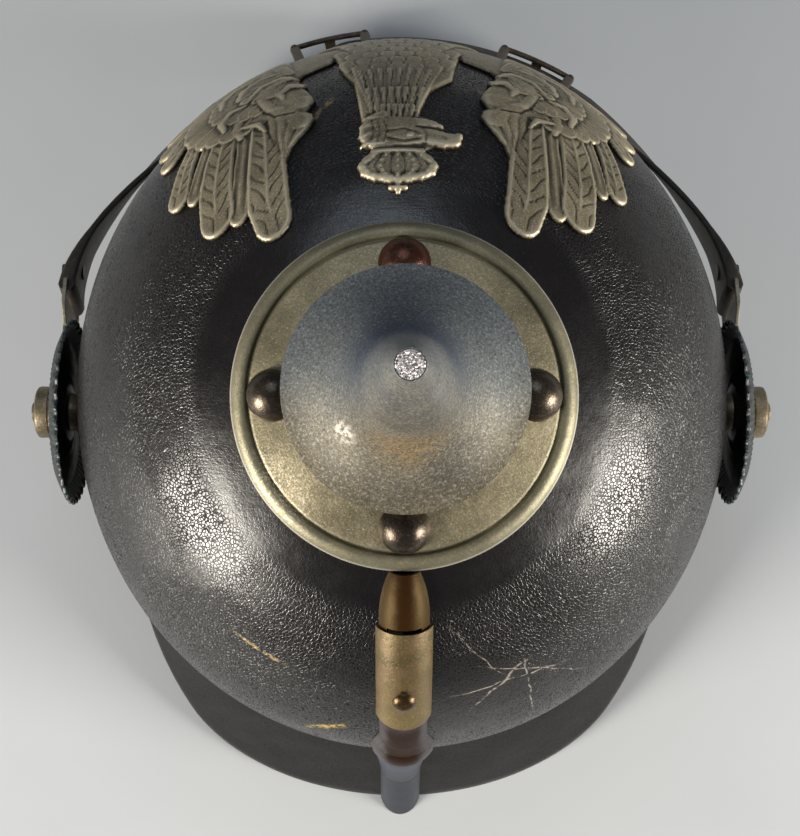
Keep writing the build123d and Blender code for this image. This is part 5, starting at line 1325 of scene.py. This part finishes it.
# Across and out of the leather, as shares of its half width and half thickness
STRAP_SECTION = (
    (-1, -0.45), (-0.985, -0.8), (-0.94, -1), (-0.5, -1), (0, -1), (0.5, -1), (0.94, -1), (0.985, -0.8),
    (1, -0.45), (1, 0.45), (0.985, 0.8), (0.94, 0.97), (0.7, 0.9), (0.5, 1.0), (0, 1.0), (-0.5, 1.0),
    (-0.7, 0.9), (-0.94, 0.97), (-0.985, 0.8), (-1, 0.45),
)
POINT_LONG = 7.5
ROLL_OUT, ROLL_IN = 2.5, 0.62


def strap_path(side, layer, far):
    """Stations along one half of the strap: place, way, way across and thickness."""
    first, first_way, first_wide = strap_start(side)
    end_angle = side * FREE_END
    last = band_at(end_angle, layer + STRAP_THICK / 2)
    last_way = vec(-side * cos(FREE_END), -sin(FREE_END), 0)
    last_wide = unit(band_at(end_angle, 0, 1.0) - band_at(end_angle, 0, 0))
    stations = []
    fold = FOLD_LONG / float(np.linalg.norm(last - first))
    for share in np.linspace(0, 1, 60):
        rest = 1 - share
        p = first * rest**2 * (1 + 2 * share) + last * share**2 * (1 + 2 * rest)
        p = p + first_way * PULL * share * rest**2 - last_way * PULL * share**2 * rest
        way = (last - first) * 6 * share * rest
        way = way + first_way * PULL * rest * (1 - 3 * share) + last_way * PULL * share * (3 * share - 2)
        way = unit(way)
        wide = first_wide * rest + last_wide * share
        wide = unit(wide - way * (wide @ way))
        thick = STRAP_THICK + FOLD_EXTRA * max(0, 1 - share / fold)
        stations.append((p, way, wide, thick))
    for angle in np.linspace(end_angle, radians(far), 90)[1:]:
        way = -side * vec(cos(angle), sin(angle), 0)
        wide = unit(band_at(angle, 0, 1.0) - band_at(angle, 0, 0))
        stations.append((band_at(angle, layer + STRAP_THICK / 2), way, wide, STRAP_THICK))
    return stations


def strap_roll(side):
    """The roll of leather round the lug's bar, with a slot that holds the bar."""
    origin, along, wide = strap_start(side)
    roll = [(-ROLL_OUT * cos(a), ROLL_OUT * sin(a)) for a in np.linspace(-pi / 2, pi / 2, 15)]
    roll += [(1.2, ROLL_OUT), (1.2, ROLL_IN), (-1.25, ROLL_IN)]
    roll += [(-1.25, -ROLL_IN), (1.2, -ROLL_IN), (1.2, -ROLL_OUT)]
    out = np.cross(along, wide) * side
    grid = []
    for share in (-1.0, -0.97, -0.9, 0.0, 0.9, 0.97, 1.0):
        size = 1 - 0.12 * max(0, (abs(share) - 0.88) / 0.12)
        grid.append([origin + wide * share * 8.2 + along * (x * size) + out * (y * size) for x, y in roll])
    return tube(grid)


def strap(side, word, layer, far):
    """One half of the chin strap with its fold round the bar, its free side and its front band."""
    stations = strap_path(side, layer, far)
    centres, wides, deeps, sections = [], [], [], []
    walked = 0.0
    for i, (p, way, wide, thick) in enumerate(stations):
        if i:
            walked += float(np.linalg.norm(p - stations[i - 1][0]))
        deep = np.cross(way, wide) * side
        half = STRAP_HALF - 0.1 * abs(noise.noise(Vector((walked * 0.08, side * 3.0, 1))))
        high = thick / 2 - 0.03
        left = float(np.linalg.norm(p - stations[-1][0]))
        if left < POINT_LONG:
            half *= 0.35 + 0.65 * sqrt(max(0, 1 - (1 - left / POINT_LONG) ** 2))
        bend = 0.18 * noise.noise(Vector((walked * 0.05, side * 7.0, 4)))
        bends = i < 55 and walked > 20
        section = []
        for a, b in STRAP_SECTION:
            section.append((half * a, high * b + (bend * (1 - abs(a)) if abs(a) < 0.9 and bends else 0)))
        centres.append(p)
        wides.append(wide)
        deeps.append(deep)
        sections.append(section)
    main = sweep(np.array(centres), np.array(wides), np.array(deeps), np.array(sections))
    mesh, node = joined([main, strap_roll(side)]), f"chin_strap_{word}"
    piece(f"strap_leather_{word}", *mesh, "strap", STRAP_SKIN, [node], "strap_leather", sharp=50)


strap(1, "left", INNER, -24.7)
strap(-1, "right", OUTER, 12.4)


SLOT_LONG = 3.4


def lug(side, word):
    """The flat metal end: an eye on the post, a waist and a slotted head, with softened edges."""
    along = strap_start(side)[1]
    base = vec(side * LUG, 0, POST_UP)
    end, slot_end = LUG_LONG, LUG_LONG - END_BAR
    slot_start = slot_end - SLOT_LONG
    head = slot_start - END_BAR
    outline = [(9 * cos(a), 9 * sin(a)) for a in np.linspace(radians(38), radians(322), 40)]
    edge = [(head - 5.5, -5.5), (head - 1.6, -9.6), (head + 0.2, -10.5), (end - 0.8, -10.5), (end, -9.7)]
    outline += edge + [(x, -y) for x, y in edge[::-1]]
    hole = [(3.28 * cos(a), 3.28 * sin(a)) for a in np.linspace(0, 2 * pi, 40, endpoint=False)]
    curve = bpy.data.curves.new(f"lug_{word}", "CURVE")
    curve.dimensions, curve.fill_mode = "2D", "BOTH"
    slot = [(slot_start, -8.55), (slot_end, -8.55), (slot_end, 8.55), (slot_start, 8.55)]
    for loop in (outline, hole, slot):
        line = curve.splines.new("POLY")
        line.points.add(len(loop) - 1)
        for point, (a, b) in zip(line.points, loop):
            point.co = (a * MM, b * MM, 0, 1)
        line.use_cyclic_u = True
    bevel = 0.16
    curve.extrude, curve.bevel_depth = (LUG_THICK / 2 - bevel) * MM, bevel * MM
    curve.bevel_resolution, curve.offset = 2, -bevel * MM
    holder = bpy.data.objects.new(f"lug_{word}_curve", curve)
    bpy.context.scene.collection.objects.link(holder)
    shape = holder.evaluated_get(bpy.context.evaluated_depsgraph_get())
    mesh = bpy.data.meshes.new_from_object(shape)
    bpy.data.objects.remove(holder)
    out = vec(side, 0, 0)
    across = np.cross(out, along)
    flat = np.array([v.co for v in mesh.vertices]) / MM
    points = base + flat[:, :1] * along + flat[:, 1:2] * across + (flat[:, 2:] + LUG_THICK / 2) * out
    faces = [tuple(f.vertices) for f in mesh.polygons]
    node = f"strap_end_{word}"
    piece(f"strap_lug_{word}", points, faces, "strap", LUG_METAL, [node], "grey_metal", sharp=40)


lug(1, "left")
lug(-1, "right")


BUCKLE_HALF_LONG, BUCKLE_HALF = 12.5, 11
END_ROD, SIDE_ROD = 1.6, 1.15


def buckle(angle, word):
    """A buckle frame of round bars bent to the strap, with a flat bar behind."""
    rise = OUTER + STRAP_THICK + CLEAR
    turn = BUCKLE_HALF_LONG / (BAND + OUTER)
    middle = radians(angle)
    ring = np.linspace(0, 2 * pi, 12, endpoint=False)
    corners = rounded([(-1, -1), (1, -1), (1, 1), (-1, 1)], 0.16, 5)
    dense = []
    for i, c in enumerate(corners):
        n = corners[(i + 1) % len(corners)]
        for t in np.linspace(0, 1, 9 if np.linalg.norm(n - c) > 0.4 else 2)[:-1]:
            dense.append(c + (n - c) * t)
    centre, wide, deep = [], [], []
    for a, b in dense:
        centre.append(band_at(middle + a * (turn - END_ROD / BAND), rise + 0.8, b * (BUCKLE_HALF - SIDE_ROD)))
    centre = np.array(centre)
    ahead = unit(np.roll(centre, -1, 0) - np.roll(centre, 1, 0))
    for a, w in zip((a for a, _ in dense), ahead):
        up = band_at(middle + a * turn, rise + 1.8, 0) - band_at(middle + a * turn, rise + 0.8, 0)
        up = unit(up - w * (up @ w))
        wide.append(np.cross(w, up) * (END_ROD if abs(a) > 0.9 else SIDE_ROD))
        deep.append(up * 0.8)
    section = np.array([(cos(t), sin(t)) for t in ring])
    section = np.sign(section) * np.abs(section) ** 0.75
    parts = [sweep(centre, np.array(wide), np.array(deep), section, closed=True)]
    for way in (1, -1):
        for b in (1, -1):
            a = middle + way * (turn - END_ROD / BAND)
            hub = band_at(a, rise + 0.78, b * (BUCKLE_HALF - 1.5))
            ball = []
            for v in np.linspace(-1, 1, 9):
                size = sqrt(max(0.0, 1 - v**2))
                ball.append([hub + 1.45 * vec(size * cos(t), size * sin(t), v * 0.55) for t in ring])
            parts.append((np.reshape(ball, (-1, 3)), quads(9, 12, closed_cols=True)))
    half = END_ROD / (BAND + OUTER)
    # the bar behind: (off the visor, along the band's width)
    right = [(GAP + 0.05, 10.7), (rise + 0.6, 10.8), (rise + 0.6, 9.45), (GAP + 1.15, 9.0)]
    bar = [(right[0][0], -right[0][1]), *right] + [(off, -along) for off, along in right[:0:-1]]
    parts.append(tube([[band_at(middle + a, *place) for place in bar] for a in np.linspace(-half, half, 7)]))
    mesh, body = joined(parts), f"{word}_buckle"
    node = f"buckle_{word}"
    piece(f"buckle_frame_{word}", *mesh, body, BUCKLE_METAL, [node], "dark_metal", sharp=45)


buckle(12.4, "left")
buckle(-24.7, "right")


# Liner


BAND_FOOT, BAND_TOP, BAND_THICK, BAND_ROWS = 36.1, 56.9, 1.1, 14


def liner_band():
    """The sweatband, a little puffed, inside the rim."""
    turn = np.linspace(0, 2 * pi, 260, endpoint=False)
    outer, inner = [], []
    for i, height in enumerate(np.linspace(BAND_FOOT, BAND_TOP, BAND_ROWS)):
        puff = np.array([noise.noise(Vector((cos(t) * 4, sin(t) * 4, height * 0.05))) for t in turn]) * 0.22
        edge = 0.25 * (1 - float(smooth(min(i, BAND_ROWS - 1 - i) / 2)))
        out = out_at(height) - LEATHER - 0.35 - np.maximum(puff, 0)
        outer.append(on_oval(out - edge, turn, height))
        inner.append(on_oval(out - BAND_THICK + edge, turn, height))
    mesh = shell(np.array(outer), np.array(inner), True)
    piece("sweatband", *mesh, "helmet", LINER_SKIN, ["liner_band"], "liner_leather", sharp=60)


liner_band()


LEAVES, LEAF_HALF = 9, radians(16.5)
LEAF_LOW, LEAF_TOP, LEAF_TIP_OUT = 46.5, CROWN_UP + CROWN - LEATHER - 12, 17.0


def tongues():
    """The liner's nine leaves, each with a hole near its tip."""
    low, top = LEAF_LOW, LEAF_TOP
    foot = out_at(low) - LEATHER - 0.6 - 1.2
    mid_up = WIDEST + (top - WIDEST) * 0.62
    mid_out = out_at(mid_up) - 24
    # the circle through foot, middle and tip
    ax, ay, bx, by, cx, cy = foot, low, mid_out, mid_up, LEAF_TIP_OUT, top
    twice = 2 * (ax * (by - cy) + bx * (cy - ay) + cx * (ay - by))
    a2, b2, c2 = ax**2 + ay**2, bx**2 + by**2, cx**2 + cy**2
    centre_out = (a2 * (by - cy) + b2 * (cy - ay) + c2 * (ay - by)) / twice
    centre_up = (a2 * (cx - bx) + b2 * (ax - cx) + c2 * (bx - ax)) / twice
    radius = hypot(ax - centre_out, ay - centre_up)
    first, last = atan2(ay - centre_up, ax - centre_out), atan2(cy - centre_up, cx - centre_out)
    parts = []
    for index in range(LEAVES):
        start = radians(90 + index * 360 / LEAVES)
        outer, inner = [], []
        for share in np.linspace(0, 1, 44):
            a = first + (last - first) * share
            half = LEAF_HALF
            if share > 0.8:
                half *= sqrt(max(0.02, 1 - ((share - 0.8) / 0.2) ** 2 * 0.72))
            row_out, row_in = [], []
            for u in np.linspace(-1, 1, 15):
                turn = start + LEAF_HALF + half * u
                crease = noise.noise(Vector((index * 5.1 + u * 0.9, share * 5, 2))) * 0.9
                crease = max(-0.2, crease) * sin(pi * min(1, share * 1.5))
                dip = (1.3 * (1 - u * u) * sin(pi * share) + crease) * 0.8
                edge = 0.25 * float(smooth((abs(u) - 0.8) / 0.2))
                r_out, r_in = radius - 0.06 - edge - dip, radius - 1.15 + edge - dip
                row_out.append(on_oval(centre_out + r_out * cos(a), turn, centre_up + r_out * sin(a)))
                row_in.append(on_oval(centre_out + r_in * cos(a), turn, centre_up + r_in * sin(a)))
            outer.append(row_out)
            inner.append(row_in)
        outer, inner = np.array(outer), np.array(inner)
        keep = np.ones((43, 14), bool)
        keep[39:41, 6:8] = False
        parts.append(shell(outer, inner, keep=keep))
    mesh, node = joined(parts), "liner_tongues"
    piece("liner_tongue_leaves", *mesh, "helmet", LINER_SKIN, [node], "liner_leather", sharp=60)


tongues()


# Pieces that keep their CAD shape


INNER_NODES = ("stud_washers", "spine_pins", "post_nut_left", "post_nut_right", "plate_loops", "spike_plug")
FINISHES = dict.fromkeys(INNER_NODES, INNER_METAL)
FINISHES.update(spike_neck=NECK_METAL, plate_studs=STUD_METAL, vent_slide_knob=KNOB_BRASS)
FINISHES.update(strap_rivets=BUCKLE_METAL, loop_wedges=LINER_SKIN)
FINISHES.update(rear_spine=SPINE_METAL, vent_slide=SLIDE_METAL)
for name, material in FINISHES.items():
    node = frame["nodes"][name]
    node.data.materials.clear()
    node.data.materials.append(material)


# Camera, floor and light


FOCAL_PIXELS, PHOTO_PIXELS, SENSOR = 1600, 836, 36.0
CAMERA_PLACE = (4.0, 22.2, 524.3)
CAMERA_PITCH, CAMERA_YAW = radians(-2.55), radians(0.44)


def camera():
    """The photograph's camera, looking down, with the helmet's front at the picture's top."""
    data = bpy.data.cameras.new("photo_camera")
    data.sensor_width, data.lens = SENSOR, FOCAL_PIXELS * SENSOR / PHOTO_PIXELS
    data.clip_start, data.clip_end = 0.01, 20
    made = bpy.data.objects.new("photo_camera", data)
    bpy.context.scene.collection.objects.link(made)
    pitch, yaw = CAMERA_PITCH, CAMERA_YAW
    axes = np.array([[-1.0, 0, 0], [0, -1.0, 0], [0, 0, 1.0]])
    about_x = np.array([[1, 0, 0], [0, cos(pitch), -sin(pitch)], [0, sin(pitch), cos(pitch)]])
    about_y = np.array([[cos(yaw), 0, sin(yaw)], [0, 1, 0], [-sin(yaw), 0, cos(yaw)]])
    axes = about_y @ about_x @ axes
    turn = Matrix([[axes[c][r] for c in range(3)] for r in range(3)])
    made.matrix_world = Matrix.Translation(Vector(CAMERA_PLACE) * MM) @ turn.to_4x4()
    bpy.context.scene.camera = made


camera()


def floor():
    """A wide pale sheet under the helmet."""
    mesh = bpy.data.meshes.new("floor")
    mesh.from_pydata([(-30, -30, 0), (30, -30, 0), (30, 30, 0), (-30, 30, 0)], [], [(0, 1, 2, 3)])
    made = bpy.data.objects.new("floor", mesh)
    bpy.context.scene.collection.objects.link(made)
    p = Paint("floor_paper")
    p.base(p.mix(p.noise(60, 3), (0.39, 0.41, 0.435), (0.43, 0.45, 0.47)))
    p.rough(p.scaled(p.noise(20, 3), 0.1, 0.8))
    mesh.materials.append(p.material)
    made.location.z = -0.0002


floor()


LAMP_AIM = (0, 0, 0.09)


def lamp(name, way, distance, size, power, colour):
    """A round soft lamp, its way and distance counted from the helmet's middle."""
    data = bpy.data.lights.new(name, "AREA")
    data.shape, data.size, data.energy, data.color = "DISK", size, power, colour
    made = bpy.data.objects.new(name, data)
    bpy.context.scene.collection.objects.link(made)
    way = Vector(way).normalized()
    made.location = Vector(LAMP_AIM) + way * distance
    made.rotation_mode = "QUATERNION"
    made.rotation_quaternion = way.to_track_quat("Z", "Y")


lamp("soft_left_rear", (0.81, 0.47, 0.31), 1.3, 0.6, 34, (1, 0.94, 0.84))
lamp("soft_right_rear", (-0.88, 0.33, 0.28), 1.3, 0.6, 31, (1, 0.95, 0.86))
lamp("soft_front", (0.1, -0.6, 0.9), 1.6, 0.9, 4.5, (0.8, 0.9, 1.0))

world = bpy.data.worlds.new("room")
bpy.context.scene.world = world
world.use_nodes = True
world.node_tree.nodes["Background"].inputs["Color"].default_value = (0.78, 0.84, 1.0, 1)
world.node_tree.nodes["Background"].inputs["Strength"].default_value = 0.13

bpy.context.scene.view_settings.view_transform = "Standard"
